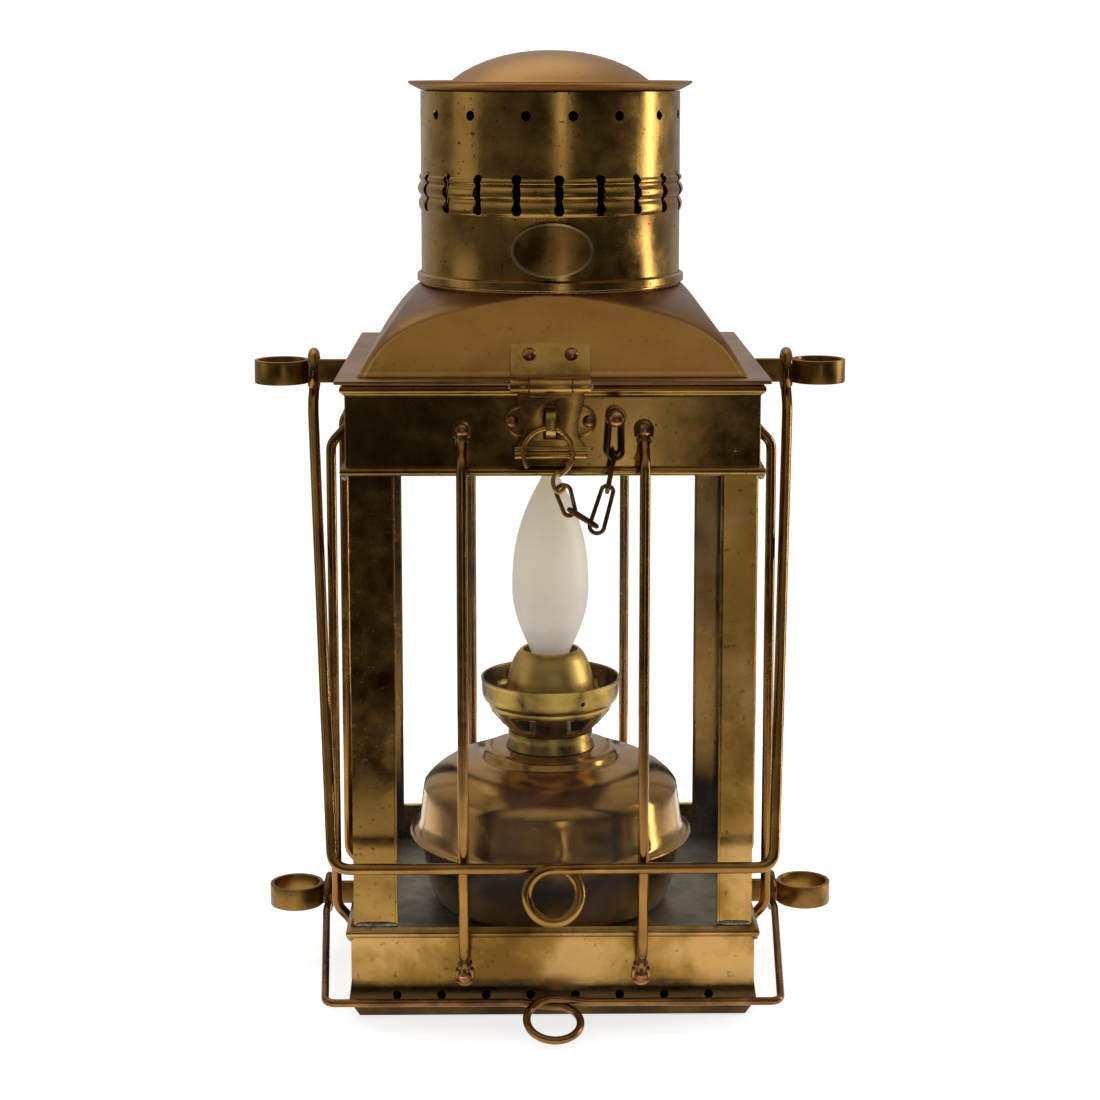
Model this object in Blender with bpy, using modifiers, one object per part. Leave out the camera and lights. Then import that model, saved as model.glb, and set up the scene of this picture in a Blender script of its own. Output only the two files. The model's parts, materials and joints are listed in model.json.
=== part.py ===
"""Ship lantern: a square brass case with four panes and guard rods, a hinged roof
with a round chimney, two wire bails, a hasp with its key ring and chain, and a
lamp with an electric candle bulb inside.

Lengths below are in millimetres and MM turns them into metres.  The origin is the
centre of the base's underside, +Z is up and the hasp side faces -Y.
"""
import math

import bmesh
import bpy
from mathutils import Matrix, Vector

MM = 0.001
GAP = 0.3                   # clearance between pieces that touch

# case
CASE_HALF = 86.8            # outer half-width of the two bands
SHEET = 1.0
TRAY_BOTTOM_HALF = 83.5
TRAY_TOP_HALF = 87.1
TRAY_HEIGHT = 7.0
BASE_TOP = 41.0
BASE_CREASE = 15.3
BASE_FOOT_HALF = 88.0
BEAD_HALF = 89.0
FLOOR_Z = 24.0              # top of the inner floor
FLOOR_HALF = 84.2
UPPER_LOW = 237.5
UPPER_TOP = 276.0
POST_LOW = 24.4
POST_TOP = 268.0
POST_HALF = 85.5
POST_FRONT_LEFT = 19.0
POST_FRONT_RIGHT = 15.0
POST_REAR = 13.5
POST_SIDE_LEG = 14.0
PANE_FACE = 84.2
PANE_THICK = 2.0
PANE_HALF = 81.8
PANE_TOP = 266.0
VENT_R = 1.9
VENT_Z = 10.6
VENT_PITCH = 19.2
VENTS_PER_FACE = 8

# guard rods
ROD_R = 2.25
ROD_SPREAD = 38.0           # along the face, from its middle
ROD_OUT_FRONT = 98.0        # from the case's centre to the rod's centre line
ROD_OUT_SIDE = 96.4
ROD_TAB_HALF = 4.2
ROD_TAB_THICK = 1.6
ROD_RIVET_TOP = 257.0
ROD_RIVET_LOW = 19.3
ROD_BEND_TOP = 244.5
ROD_BEND_LOW = 32.5
RIVET_R = 3.0
RIVET_RISE = 1.9

# side rings
RING_R = 12.3
RING_WALL = 1.8
RING_UPPER_X = 121.0
RING_UPPER_LOW = 265.5
RING_UPPER_TOP = 276.0
RING_LOWER_X = 118.0
RING_LOWER_LOW = 21.0
RING_LOWER_TOP = 31.0

# roof
FLANGE_HALF = 91.0
FLANGE_OPENING = 79.0
FLANGE_LOW = 276.3
FLANGE_TOP = 278.0
HOOD_HALF = 81.85
HOOD_LOW = 278.3
HOOD_TOP = 311.0
HOOD_TOP_R = 58.3
HOOD_BULGE = 1.8            # how far the panel's arc stands off its chord
HOOD_EAVE_CORNER = 2.5
CHIMNEY_R = 57.7
CHIMNEY_WALL = 1.0
CHIMNEY_LOW = 311.3
CHIMNEY_TOP = 396.0
SKIRT_R = 59.6
SKIRT_LOW = 311.3
SKIRT_TOP = 316.5
BEAD_RINGS = ((343.3, 349.3, 1.1), (350.3, 356.2, 1.5), (356.8, 359.4, 0.8))
SLOTS = 20
FIRST_SLOT = math.radians(3)
SLOT_WIDTH = 3.9
SLOT_LOW = 343.9
SLOT_TOP = 361.2
# Degrees round from the front.  They were drilled by eye, so they aren't evenly spaced.
AIR_HOLES = (-84, -60, -37, -11, 9, 30, 54, 76, 94, 112.5, 135, 157.5, 180, 202.5, 225, 247.5)
AIR_HOLE_R = 2.2
AIR_HOLE_Z = 386.0
BRIM_R = 63.2
BRIM_TOP = 400.4
DOME_R = 45.6
DOME_TOP = 413.9
BADGE_HALF_W = 17.9
BADGE_HALF_H = 11.8
BADGE_Z = 329.3

# hinges and hasp
BARREL_R = 2.9
BARREL_Z = 276.2
FRONT_BARREL_Y = -94.2
REAR_BARREL_Y = 94.2
PIN_R = 1.25
BARREL_BORE = 1.32
HINGE_HALF = 16.7
MID_KNUCKLE = 8.8
HINGE_X = -1.0
HASP_TOP_HALF = 14.4
HASP_WAIST_HALF = 11.2
HASP_LOW_HALF = 15.0
HASP_LOW = 246.0
HASP_Y = -91.6              # the hasp's back face
HASP_THICK = 1.3
HASP_NECK_LOW = 270.6
HASP_SHOULDER = 272.4
HASP_SLOT_HALF = 2.95
HASP_SLOT_LOW = 253.9
HASP_SLOT_TOP = 266.4       # where the slot's round end begins
HASP_LIP_Z = 246.9
HASP_LIP_R = 2.1
HASP_LIP_OUT = 1.5          # the lip's centre in front of the back face
LEAF_TOP = (75.2, 292.5)    # outer top edge of a roof leaf, as |y| and z
LEAF_FOOT = (84.2, 279.7)   # where its face leaves the flange
STRAP_LOW = 250.0           # rear hinge's lower leaf
STRAP_THICK = 1.3
STRAP_REACH_LOW = 269.9

# staple
STAPLE_PLATE_LOW_X = -20.2
STAPLE_PLATE_HIGH_X = 18.2
STAPLE_PLATE_Z = 260.7
STAPLE_PLATE_HALF = 6.9
STAPLE_PLATE_THICK = 1.2
STAPLE_TIP = -100.6
STAPLE_STRAP = 1.5
STAPLE_BEND = 4.6
STAPLE_TOP = 266.6
STAPLE_LOW = 254.9
STAPLE_HALF = 2.1

# bails
UPPER_WIRE = 2.4
UPPER_PIVOT_Z = 270.75
UPPER_EYE_X = 106.6
UPPER_EYE_R = 8.1
UPPER_BAR_Y = -103.6
UPPER_BAR_Z = 72.6
UPPER_BAR_HALF = 93.0
UPPER_LOOP_R = 11.2
UPPER_LOOP_LEAN = -12.0
UPPER_CORNER = 8.0
LOWER_WIRE = 1.7
LOWER_PIVOT_Z = 26.0
LOWER_EYE_X = 103.0
LOWER_EYE_R = 7.7
LOWER_BAR_Y = -98.6
LOWER_BAR_Z = 11.6
LOWER_BAR_HALF = 97.3
LOWER_LOOP_R = 11.4
LOWER_LOOP_LEAN = -69.0
LOWER_CORNER = 5.0

# lamp
FONT_R = 59.5
FONT_FLANGE_R = 64.9
FONT_FLANGE_Z = 57.0
FONT_CREASE_R = 58.4
FONT_CREASE_Z = 78.6
COLLAR_R = 19.4
GALLERY_R = 32.0
BURNER_R = 20.5
BULB_R = 17.5
BULB_LOW = 136.0
BULB_TIP = 229.0
BULB_NECK_R = 7.2
BULB_WIDEST = 0.37          # height of the widest place, as a share
PAN_WALL = 0.9
CAGE_WINDOWS = 6
SOCKET_R = 9.4
SOCKET_TOP = 119.5
COLLAR_LOW = 96.7

# key and chain
KEY_Y = -97.2
KEY_R = 10.3
KEY_WIRE = 0.95
KEY_CENTRE = (-2.1, 248.7)
KEY_TAIL = ((1.2, 240.6), (-0.4, 237.4), (0.4, 233.6), (2.2, 232.0), (4.4, 233.4), (4.6, 236.0))
CHAIN_Y = -93.6
CHAIN_STUD = (26.2, 262.4)
STUD_NECK_R = 1.3
STUD_HEAD_R = 3.2
LINK_WIRE = 0.9
LINK_BIG = 3.1              # half-width at a link's low end
LINK_SMALL_WIDE = 2.6       # half-width at its top, when its flat side faces the front
LINK_SMALL_EDGE = 2.1
LINK_TOP = (26.3, 265.3)
LINK_ENDS = ((25.6, 245.6), (22.4, 231.8), (17.4, 214.4), (6.6, 224.4), (3.4, 234.6))

AXIS = 0.001                # a radius below this lies on the axis
ROUND = 20                  # sides of a large turned piece
ROUND_SMALL = 14


def clear_scene():
    for item in list(bpy.data.objects):
        bpy.data.objects.remove(item, do_unlink=True)


def collection(name):
    made = bpy.data.collections.new(name)
    bpy.context.scene.collection.children.link(made)
    return made


def finish(name, colour, metallic=1.0, roughness=0.35, alpha=1.0):
    """A plain Principled material for one piece."""
    made = bpy.data.materials.new(name + "_finish")
    made.use_nodes = True
    shader = made.node_tree.nodes["Principled BSDF"]
    shader.inputs["Base Color"].default_value = (*colour, 1.0)
    shader.inputs["Metallic"].default_value = metallic
    shader.inputs["Roughness"].default_value = roughness
    shader.inputs["Alpha"].default_value = alpha
    return made


BRASS = (0.42, 0.27, 0.09)
DARK_BRASS = (0.24, 0.16, 0.07)
BRIGHT_BRASS = (0.55, 0.40, 0.13)
BRONZE = (0.20, 0.12, 0.06)
COPPER = (0.45, 0.18, 0.09)
STEEL = (0.35, 0.34, 0.32)


def register(item, name, colour, **look):
    """Name a finished piece, give it its material and put it with the lantern."""
    item.name = name
    item.data.name = name
    item.data.materials.clear()
    item.data.materials.append(finish(name, colour, **look))
    for holder in list(item.users_collection):
        holder.objects.unlink(item)
    PARTS.objects.link(item)
    if item.type == "MESH":
        item.data.shade_smooth()
        item.data.set_sharp_from_angle(angle=math.radians(35))
    return item


def new_mesh_object(name, mesh_maker):
    """An object from a bmesh that mesh_maker(bm) fills, in millimetres."""
    bm = bmesh.new()
    mesh_maker(bm)
    bmesh.ops.scale(bm, vec=(MM, MM, MM), verts=bm.verts)
    mesh = bpy.data.meshes.new(name)
    bm.to_mesh(mesh)
    bm.free()
    item = bpy.data.objects.new(name, mesh)
    bpy.context.scene.collection.objects.link(item)
    return item


def turned(name, profile, steps=ROUND):
    """Turn an (r, z) profile about Z; it runs down the outer side.

    A profile that starts and ends on the axis stays open, any other is closed.
    """
    def fill(bm):
        verts = [bm.verts.new((r, 0, z)) for r, z in profile]
        for first, second in zip(verts, verts[1:]):
            bm.edges.new((first, second))
        if max(profile[0][0], profile[-1][0]) > AXIS:
            bm.edges.new((verts[-1], verts[0]))
    item = new_mesh_object(name, fill)
    screw = item.modifiers.new("turn", "SCREW")
    screw.axis = "Z"
    screw.steps = steps
    screw.render_steps = steps
    screw.use_merge_vertices = True
    screw.merge_threshold = 0.00001
    return item


def squared(name, profile):
    """A band of square plan: a four-step turn, a quarter of a right angle round."""
    corner = math.sqrt(2.0)
    item = turned(name, [(half * corner, z) for half, z in profile], steps=4)
    item.rotation_euler.z = math.radians(45)
    return item


def box(name, low, high):
    def fill(bm):
        bmesh.ops.create_cube(bm, size=1.0)
        size = Vector(high) - Vector(low)
        middle = (Vector(high) + Vector(low)) / 2
        bmesh.ops.scale(bm, vec=size, verts=bm.verts)
        bmesh.ops.translate(bm, vec=middle, verts=bm.verts)
    return new_mesh_object(name, fill)


def cylinder(name, start, end, radius, sides=16):
    """A closed cylinder between two points."""
    def fill(bm):
        along = Vector(end) - Vector(start)
        turn = along.to_track_quat("Z", "Y").to_matrix().to_4x4()
        place = Matrix.Translation((Vector(start) + Vector(end)) / 2) @ turn
        bmesh.ops.create_cone(bm, cap_ends=True, segments=sides, radius1=radius,
                              radius2=radius, depth=along.length, matrix=place)
    return new_mesh_object(name, fill)


def wire(name, points, radius, cyclic=False, resolution=2):
    """A round wire through the points."""
    curve = bpy.data.curves.new(name, "CURVE")
    curve.dimensions = "3D"
    curve.bevel_depth = radius * MM
    curve.bevel_resolution = resolution
    curve.use_fill_caps = True
    spline = curve.splines.new("POLY")
    spline.points.add(len(points) - 1)
    for target, point in zip(spline.points, points):
        target.co = (*(Vector(point) * MM), 1.0)
    spline.use_cyclic_u = cyclic
    item = bpy.data.objects.new(name, curve)
    bpy.context.scene.collection.objects.link(item)
    return item


def plate(name, outlines, thickness, place=(0, 0, 0), upright=False):
    """A flat piece from closed outlines in its own XY plane.

    An upright plate stands in the XZ plane with its outline seen from -Y.
    """
    curve = bpy.data.curves.new(name, "CURVE")
    curve.dimensions = "2D"
    curve.fill_mode = "BOTH"
    curve.extrude = thickness * MM / 2
    for outline in outlines:
        spline = curve.splines.new("POLY")
        spline.points.add(len(outline) - 1)
        for target, (x, y) in zip(spline.points, outline):
            target.co = (x * MM, y * MM, 0.0, 1.0)
        spline.use_cyclic_u = True
    item = bpy.data.objects.new(name, curve)
    bpy.context.scene.collection.objects.link(item)
    item.location = Vector(place) * MM
    if upright:
        item.rotation_euler.x = math.radians(90)
    return item


def as_mesh(item):
    """The evaluated piece as a plain mesh object at the origin."""
    bpy.context.view_layer.update()
    graph = bpy.context.evaluated_depsgraph_get()
    mesh = bpy.data.meshes.new_from_object(item.evaluated_get(graph))
    mesh.transform(item.matrix_world)
    bm = bmesh.new()
    bm.from_mesh(mesh)
    bmesh.ops.remove_doubles(bm, verts=bm.verts, dist=0.000001)
    bm.to_mesh(mesh)
    bm.free()
    made = bpy.data.objects.new(item.name, mesh)
    bpy.context.scene.collection.objects.link(made)
    bpy.data.objects.remove(item, do_unlink=True)
    return made


def boolean(item, cutter, operation):
    """Cut, join or intersect with a cutter that stays out of the lantern."""
    for holder in list(cutter.users_collection):
        holder.objects.unlink(cutter)
    CUTTERS.objects.link(cutter)
    cutter.hide_render = True
    cutter.display_type = "WIRE"
    step = item.modifiers.new(operation.lower(), "BOOLEAN")
    step.operation = operation
    step.object = cutter
    step.solver = "EXACT"
    return item


def merged(name, items):
    """Several closed shapes in one object, for use as a single cutter."""
    bm = bmesh.new()
    for item in items:
        mesh_item = as_mesh(item)
        bm.from_mesh(mesh_item.data)
        bpy.data.objects.remove(mesh_item, do_unlink=True)
    mesh = bpy.data.meshes.new(name)
    bm.to_mesh(mesh)
    bm.free()
    made = bpy.data.objects.new(name, mesh)
    bpy.context.scene.collection.objects.link(made)
    return made


def arc(centre, radius, start, end, count):
    """Points on an arc, angles in degrees, both ends included."""
    points = []
    for step in range(count + 1):
        angle = math.radians(start + (end - start) * step / count)
        points.append((centre[0] + radius * math.cos(angle),
                       centre[1] + radius * math.sin(angle)))
    return points


def pivot(name, place, parent=None):
    """An empty on a joint's axis that carries a moving body."""
    item = bpy.data.objects.new(name, None)
    bpy.context.scene.collection.objects.link(item)
    item.empty_display_size = 0.01
    carry(item, parent)
    item.matrix_basis = Matrix.Translation(Vector(place) * MM - base_of(parent))
    item["place"] = list(Vector(place) * MM)
    return item


def base_of(parent):
    return Vector(parent["place"]) if parent else Vector((0, 0, 0))


def carry(item, parent):
    """Hang a piece on a pivot without moving it."""
    if parent:
        item.parent = parent
        item.location = item.location - base_of(parent)
    return item


def rivet_head(name, x, z, face_y, radius=RIVET_R, rise=RIVET_RISE, steps=10):
    """A domed head whose flat back sits at face_y and whose dome faces -Y."""
    dome = arc((0, 0), 1.0, 90, 0, 2)
    profile = [(radius * across, rise * up) for across, up in dome] + [(0, 0)]
    item = turned(name, profile, steps=steps)
    item.location = Vector((x, face_y, z)) * MM
    item.rotation_euler.x = math.radians(90)
    return item


# ---------------------------------------------------------------- case

def make_case():
    tray = squared("bottom_plate", [
        (0, SHEET), (TRAY_BOTTOM_HALF - SHEET, SHEET), (TRAY_TOP_HALF - SHEET, TRAY_HEIGHT),
        (TRAY_TOP_HALF, TRAY_HEIGHT), (TRAY_BOTTOM_HALF, 0), (0, 0)])
    register(tray, "bottom_plate", BRASS)

    inner = CASE_HALF - SHEET
    foot = TRAY_HEIGHT + GAP
    band = squared("base_band", [
        (CASE_HALF + 0.4, BASE_TOP), (BEAD_HALF - 0.3, BASE_TOP - 0.9), (BEAD_HALF, BASE_TOP - 2.5),
        (BEAD_HALF - 0.3, BASE_TOP - 4.1), (CASE_HALF, BASE_TOP - 5), (CASE_HALF, BASE_CREASE),
        (BASE_FOOT_HALF, foot), (BASE_FOOT_HALF - 1.2, foot), (inner, BASE_CREASE), (inner, BASE_TOP)])
    reach = BASE_FOOT_HALF + 4
    offsets = [(step - (VENTS_PER_FACE - 1) / 2) * VENT_PITCH for step in range(VENTS_PER_FACE)]
    across = [cylinder("vent", (-reach, at, VENT_Z), (reach, at, VENT_Z), VENT_R, 8) for at in offsets]
    along = [cylinder("vent", (at, -reach, VENT_Z), (at, reach, VENT_Z), VENT_R, 8) for at in offsets]
    boolean(band, merged("vents_across", across), "DIFFERENCE")
    boolean(band, merged("vents_along", along), "DIFFERENCE")
    register(band, "base_band", BRIGHT_BRASS)

    floor = box("floor_plate", (-FLOOR_HALF, -FLOOR_HALF, FLOOR_Z - 1.2),
                (FLOOR_HALF, FLOOR_HALF, FLOOR_Z))
    register(floor, "floor_plate", STEEL, roughness=0.6)

    upper = squared("upper_band", [
        (CASE_HALF + 0.3, UPPER_TOP), (BEAD_HALF - 0.3, UPPER_TOP - 0.8), (BEAD_HALF, UPPER_TOP - 2.1),
        (BEAD_HALF - 0.3, UPPER_TOP - 3.4), (CASE_HALF, UPPER_TOP - 4.3), (CASE_HALF, UPPER_LOW + 3.8),
        (BEAD_HALF, UPPER_LOW + 2.9), (BEAD_HALF + 0.2, UPPER_LOW + 1.4), (BEAD_HALF, UPPER_LOW),
        (inner, UPPER_LOW), (inner, UPPER_TOP)])
    register(upper, "upper_band", DARK_BRASS)


def make_posts_and_panes():
    posts = (("corner_post_front_left", -1, -1, POST_FRONT_LEFT),
             ("corner_post_front_right", 1, -1, POST_FRONT_RIGHT),
             ("corner_post_rear_left", -1, 1, POST_REAR),
             ("corner_post_rear_right", 1, 1, POST_REAR))
    for name, side, depth, leg in posts:
        outer = POST_HALF
        inner = POST_HALF - SHEET
        angle = [(outer, outer), (outer - leg, outer), (outer - leg, inner), (inner, inner),
                 (inner, outer - POST_SIDE_LEG), (outer, outer - POST_SIDE_LEG)]
        outline = [(side * x, depth * y) for x, y in angle]
        post = plate(name, [outline], POST_TOP - POST_LOW, (0, 0, (POST_TOP + POST_LOW) / 2))
        register(post, name, BRIGHT_BRASS if name.endswith("front_right") else DARK_BRASS)

    low = FLOOR_Z + 0.4
    glass = dict(metallic=0.0, roughness=0.03, alpha=0.25)
    for name, facing in (("front", -90), ("right", 0), ("rear", 90), ("left", 180)):
        pane = box("glass_pane_" + name, (PANE_FACE - PANE_THICK, -PANE_HALF, low),
                   (PANE_FACE, PANE_HALF, PANE_TOP))
        pane.rotation_euler.z = math.radians(facing)
        register(pane, "glass_pane_" + name, (0.85, 0.9, 0.88), **glass)


def rod_mesh_object(out):
    """One guard rod with its flat ends and rivet heads, on the face at -Y."""
    face = -(CASE_HALF + GAP)
    tab_y = face - ROD_TAB_THICK / 2
    neck_y = face - ROD_R
    route = [(0, neck_y, ROD_RIVET_TOP - 3.5), (0, neck_y - 1.2, ROD_RIVET_TOP - 7),
             (0, -out + 1.2, ROD_BEND_TOP + 3), (0, -out, ROD_BEND_TOP),
             (0, -out, ROD_BEND_LOW), (0, -out + 1.2, ROD_BEND_LOW - 3),
             (0, neck_y - 1.2, ROD_RIVET_LOW + 7), (0, neck_y, ROD_RIVET_LOW + 3.5)]
    rod = as_mesh(wire("guard_rod", route, ROD_R))
    for z in (ROD_RIVET_TOP, ROD_RIVET_LOW):
        tab = cylinder("tab", (0, face, z), (0, face - ROD_TAB_THICK, z), ROD_TAB_HALF, 10)
        boolean(rod, tab, "UNION")
        boolean(rod, as_mesh(rivet_head("head", 0, z, tab_y, rise=RIVET_RISE + 0.8, steps=8)), "UNION")
    return as_mesh(rod)


def make_guard_rods():
    front = rod_mesh_object(ROD_OUT_FRONT)
    side = rod_mesh_object(ROD_OUT_SIDE)
    faces = (("front", 0, front), ("right", 90, side), ("rear", 180, front), ("left", 270, side))
    for face, turn, pattern in faces:
        for number, offset in ((1, -ROD_SPREAD), (2, ROD_SPREAD)):
            mesh = pattern.data.copy()
            mesh.transform(Matrix.Translation((offset * MM, 0, 0)))
            rod = bpy.data.objects.new("guard_rod", mesh)
            bpy.context.scene.collection.objects.link(rod)
            rod.rotation_euler.z = math.radians(turn)
            register(rod, "guard_rod_%s_%d" % (face, number), BRASS)
    bpy.data.objects.remove(front, do_unlink=True)
    bpy.data.objects.remove(side, do_unlink=True)


def make_side_rings():
    levels = (("upper", RING_UPPER_X, RING_UPPER_LOW, RING_UPPER_TOP, BEAD_HALF + 0.4),
              ("lower", RING_LOWER_X, RING_LOWER_LOW, RING_LOWER_TOP, CASE_HALF + GAP))
    for level, centre, low, top, root in levels:
        for side, sign in (("left", -1), ("right", 1)):
            half = RING_WALL
            spread = math.degrees(math.asin(half / RING_R))
            outer = arc((centre, 0), RING_R, -180 + spread, 180 - spread, 16)
            outline = [(root, half), (root, -half)] + outer
            hole = arc((centre, 0), RING_R - RING_WALL, 0, 360 - 360 / 16, 15)
            shape = [[(sign * x, y) for x, y in outline], [(sign * x, y) for x, y in hole]]
            name = "%s_ring_%s" % (level, side)
            ring = plate(name, shape, top - low, (0, 0, (low + top) / 2))
            register(ring, name, BRASS)


# ---------------------------------------------------------------- roof

def hood_section(share, inset=0.0):
    """Corner-rounded square of the hood at a share of its height, as XY points."""
    lean = (HOOD_HALF - HOOD_TOP_R) / (HOOD_TOP - HOOD_LOW)
    bulge = HOOD_BULGE * 4 * share * (1 - share)
    half = HOOD_HALF + (HOOD_TOP_R - HOOD_HALF) * share + bulge * math.cos(math.atan(lean)) - inset
    grown = (HOOD_TOP_R - HOOD_EAVE_CORNER) * share ** 4
    corner = min(HOOD_EAVE_CORNER + grown - inset, half)
    points = []
    for quarter in range(4):
        centre = half - corner
        cx, cy = ((centre, centre), (-centre, centre), (-centre, -centre), (centre, -centre))[quarter]
        points += arc((cx, cy), corner, quarter * 90, quarter * 90 + 90, 6)
    return points


def make_hood(parent):
    """A loft from a square eave to a round neck, one sheet thick."""
    def fill(bm):
        rows = 9
        outer = []
        inner = []
        for row in range(rows):
            share = row / (rows - 1)
            z = HOOD_LOW + (HOOD_TOP - HOOD_LOW) * share
            outer.append([bm.verts.new((x, y, z)) for x, y in hood_section(share)])
            inner.append([bm.verts.new((x, y, z)) for x, y in hood_section(share, SHEET)])
        rings = outer + inner[::-1]
        count = len(outer[0])
        for first, second in zip(rings, rings[1:] + rings[:1]):
            for at in range(count):
                after = (at + 1) % count
                bm.faces.new((first[at], first[after], second[after], second[at]))
        bmesh.ops.remove_doubles(bm, verts=bm.verts, dist=0.001)
        bmesh.ops.recalc_face_normals(bm, faces=bm.faces)
    hood = new_mesh_object("roof_hood", fill)
    carry(register(hood, "roof_hood", BRASS), parent)

    flange = squared("roof_flange", [
        (FLANGE_HALF, FLANGE_TOP), (FLANGE_HALF, FLANGE_LOW),
        (FLANGE_OPENING, FLANGE_LOW), (FLANGE_OPENING, FLANGE_TOP)])
    carry(register(flange, "roof_flange", (0.33, 0.21, 0.14)), parent)


def make_chimney(parent):
    outer = [(CHIMNEY_R, CHIMNEY_TOP)]
    for low, top, rise in sorted(BEAD_RINGS, reverse=True):
        outer += [(CHIMNEY_R, top), (CHIMNEY_R + rise, (low + top) / 2), (CHIMNEY_R, low)]
    seat = SKIRT_TOP - 0.4
    outer += [(CHIMNEY_R, CHIMNEY_LOW)]
    inner = CHIMNEY_R - CHIMNEY_WALL
    profile = outer + [(inner, CHIMNEY_LOW), (inner, CHIMNEY_TOP)]
    chimney = turned("chimney", profile, steps=ROUND + 4)
    slots = []
    for number in range(SLOTS):
        angle = FIRST_SLOT + math.radians(360 / SLOTS * number)
        slot = box("slot", (CHIMNEY_R - 6, -SLOT_WIDTH / 2, SLOT_LOW),
                   (CHIMNEY_R + 6, SLOT_WIDTH / 2, SLOT_TOP))
        slot.rotation_euler.z = angle
        slots.append(slot)
    holes = []
    for turn in AIR_HOLES:
        angle = math.radians(turn - 90)
        near = Vector((math.cos(angle), math.sin(angle), 0)) * (CHIMNEY_R - 6)
        far = Vector((math.cos(angle), math.sin(angle), 0)) * (CHIMNEY_R + 6)
        lift = Vector((0, 0, AIR_HOLE_Z))
        holes.append(cylinder("hole", near + lift, far + lift, AIR_HOLE_R, 6))
    boolean(chimney, merged("slots", slots), "DIFFERENCE")
    boolean(chimney, merged("air_holes", holes), "DIFFERENCE")
    carry(register(chimney, "chimney", BRASS), parent)

    wall = CHIMNEY_R + GAP
    middle = (SKIRT_LOW + SKIRT_TOP) / 2
    skirt = turned("chimney_skirt", [
        (wall + 0.5, SKIRT_TOP), (SKIRT_R, middle + 1.2), (SKIRT_R, middle - 1.2),
        (wall + 0.9, SKIRT_LOW), (wall, SKIRT_LOW), (wall, seat)], steps=ROUND + 4)
    carry(register(skirt, "chimney_skirt", BRASS), parent)

    rim = CHIMNEY_TOP + GAP
    cap = turned("cap", [
        (0, DOME_TOP), (DOME_R * 0.3, DOME_TOP - 0.8), (DOME_R * 0.6, DOME_TOP - 3.6),
        (DOME_R * 0.85, DOME_TOP - 7.8), (DOME_R, rim + 2.6), (DOME_R + 2.5, rim + 1.3),
        (CHIMNEY_R, rim + 1.3), (BRIM_R - 0.6, BRIM_TOP), (BRIM_R, BRIM_TOP - 0.8),
        (CHIMNEY_R + 1.2, rim), (0, rim)], steps=ROUND + 4)
    hollow = turned("cap_hollow", [
        (0, DOME_TOP - 1.3), (DOME_R * 0.3, DOME_TOP - 2.1), (DOME_R * 0.6, DOME_TOP - 4.9),
        (DOME_R * 0.83, DOME_TOP - 8.8), (DOME_R * 0.95, rim + 1.8), (DOME_R * 0.97, rim - 3),
        (0, rim - 3)], steps=ROUND + 4)
    boolean(cap, as_mesh(hollow), "DIFFERENCE")
    carry(register(cap, "cap", BRASS), parent)

    blank = turned("badge", [
        (CHIMNEY_R + GAP + 0.9, BADGE_Z + 16), (CHIMNEY_R + GAP + 0.9, BADGE_Z - 16),
        (CHIMNEY_R + GAP, BADGE_Z - 16), (CHIMNEY_R + GAP, BADGE_Z + 16)], steps=64)
    oval = [(BADGE_HALF_W * x, BADGE_HALF_H * z) for x, z in arc((0, 0), 1.0, 0, 360 - 360 / 24, 23)]
    punch = as_mesh(plate("badge_outline", [oval], 20, (0, -CHIMNEY_R, BADGE_Z), upright=True))
    boolean(blank, punch, "INTERSECT")
    carry(register(blank, "badge", BRONZE), parent)


# ---------------------------------------------------------------- hinges

def knuckle(x_low, x_high, y):
    """A hinge tube along X, still solid."""
    return cylinder("knuckle", (x_low, y, BARREL_Z), (x_high, y, BARREL_Z), BARREL_R, 12)


def pin_bore(y):
    """The cutter for the pin's bore through all of one hinge's knuckles."""
    reach = HINGE_HALF + 3
    return cylinder("pin_bore", (HINGE_X - reach, y, BARREL_Z), (HINGE_X + reach, y, BARREL_Z),
                    BARREL_BORE, 12)


def side_profile(name, outline, x_low, x_high):
    """A prism along X from a closed outline of (y, z) points."""
    def fill(bm):
        near = [bm.verts.new((x_low, y, z)) for y, z in outline]
        grown = bmesh.ops.extrude_face_region(bm, geom=[bm.faces.new(near)])
        moved = [item for item in grown["geom"] if isinstance(item, bmesh.types.BMVert)]
        bmesh.ops.translate(bm, vec=(x_high - x_low, 0, 0), verts=moved)
        bmesh.ops.recalc_face_normals(bm, faces=bm.faces)
    return new_mesh_object(name, fill)


def joined(pieces):
    """Overlapping shapes made into one body."""
    base = as_mesh(pieces[0])
    for piece in pieces[1:]:
        boolean(base, as_mesh(piece), "UNION")
    return as_mesh(base)


def roof_leaf(name, side):
    """A hinge leaf from the barrel over the flange and up the hood's face."""
    barrel = abs(FRONT_BARREL_Y)
    under = LEAF_FOOT[1] - 1.3
    start = barrel - BARREL_R - 0.9
    profile = [(start, LEAF_FOOT[1]), LEAF_FOOT, LEAF_TOP, (LEAF_TOP[0] - 1.35, LEAF_TOP[1]),
               (LEAF_FOOT[0] - 1.5, under), (start, under)]
    leaf = side_profile(name, [(side * y, z) for y, z in profile],
                        HINGE_X - HINGE_HALF, HINGE_X + HINGE_HALF)
    rolled = arc((barrel, BARREL_Z), BARREL_R, 125, 440, 11)
    ear = [(start - 1.5, LEAF_FOOT[1] - 0.2), (start - 1.5, under + 0.2)] + rolled
    outline = [(side * y, z) for y, z in ear]
    inset = 0.1
    ears = [side_profile("ear", outline, HINGE_X - HINGE_HALF + inset, HINGE_X - MID_KNUCKLE - GAP),
            side_profile("ear", outline, HINGE_X + MID_KNUCKLE + GAP, HINGE_X + HINGE_HALF - inset)]
    whole = joined([leaf] + ears)
    return boolean(whole, pin_bore(side * barrel), "DIFFERENCE")


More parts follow.
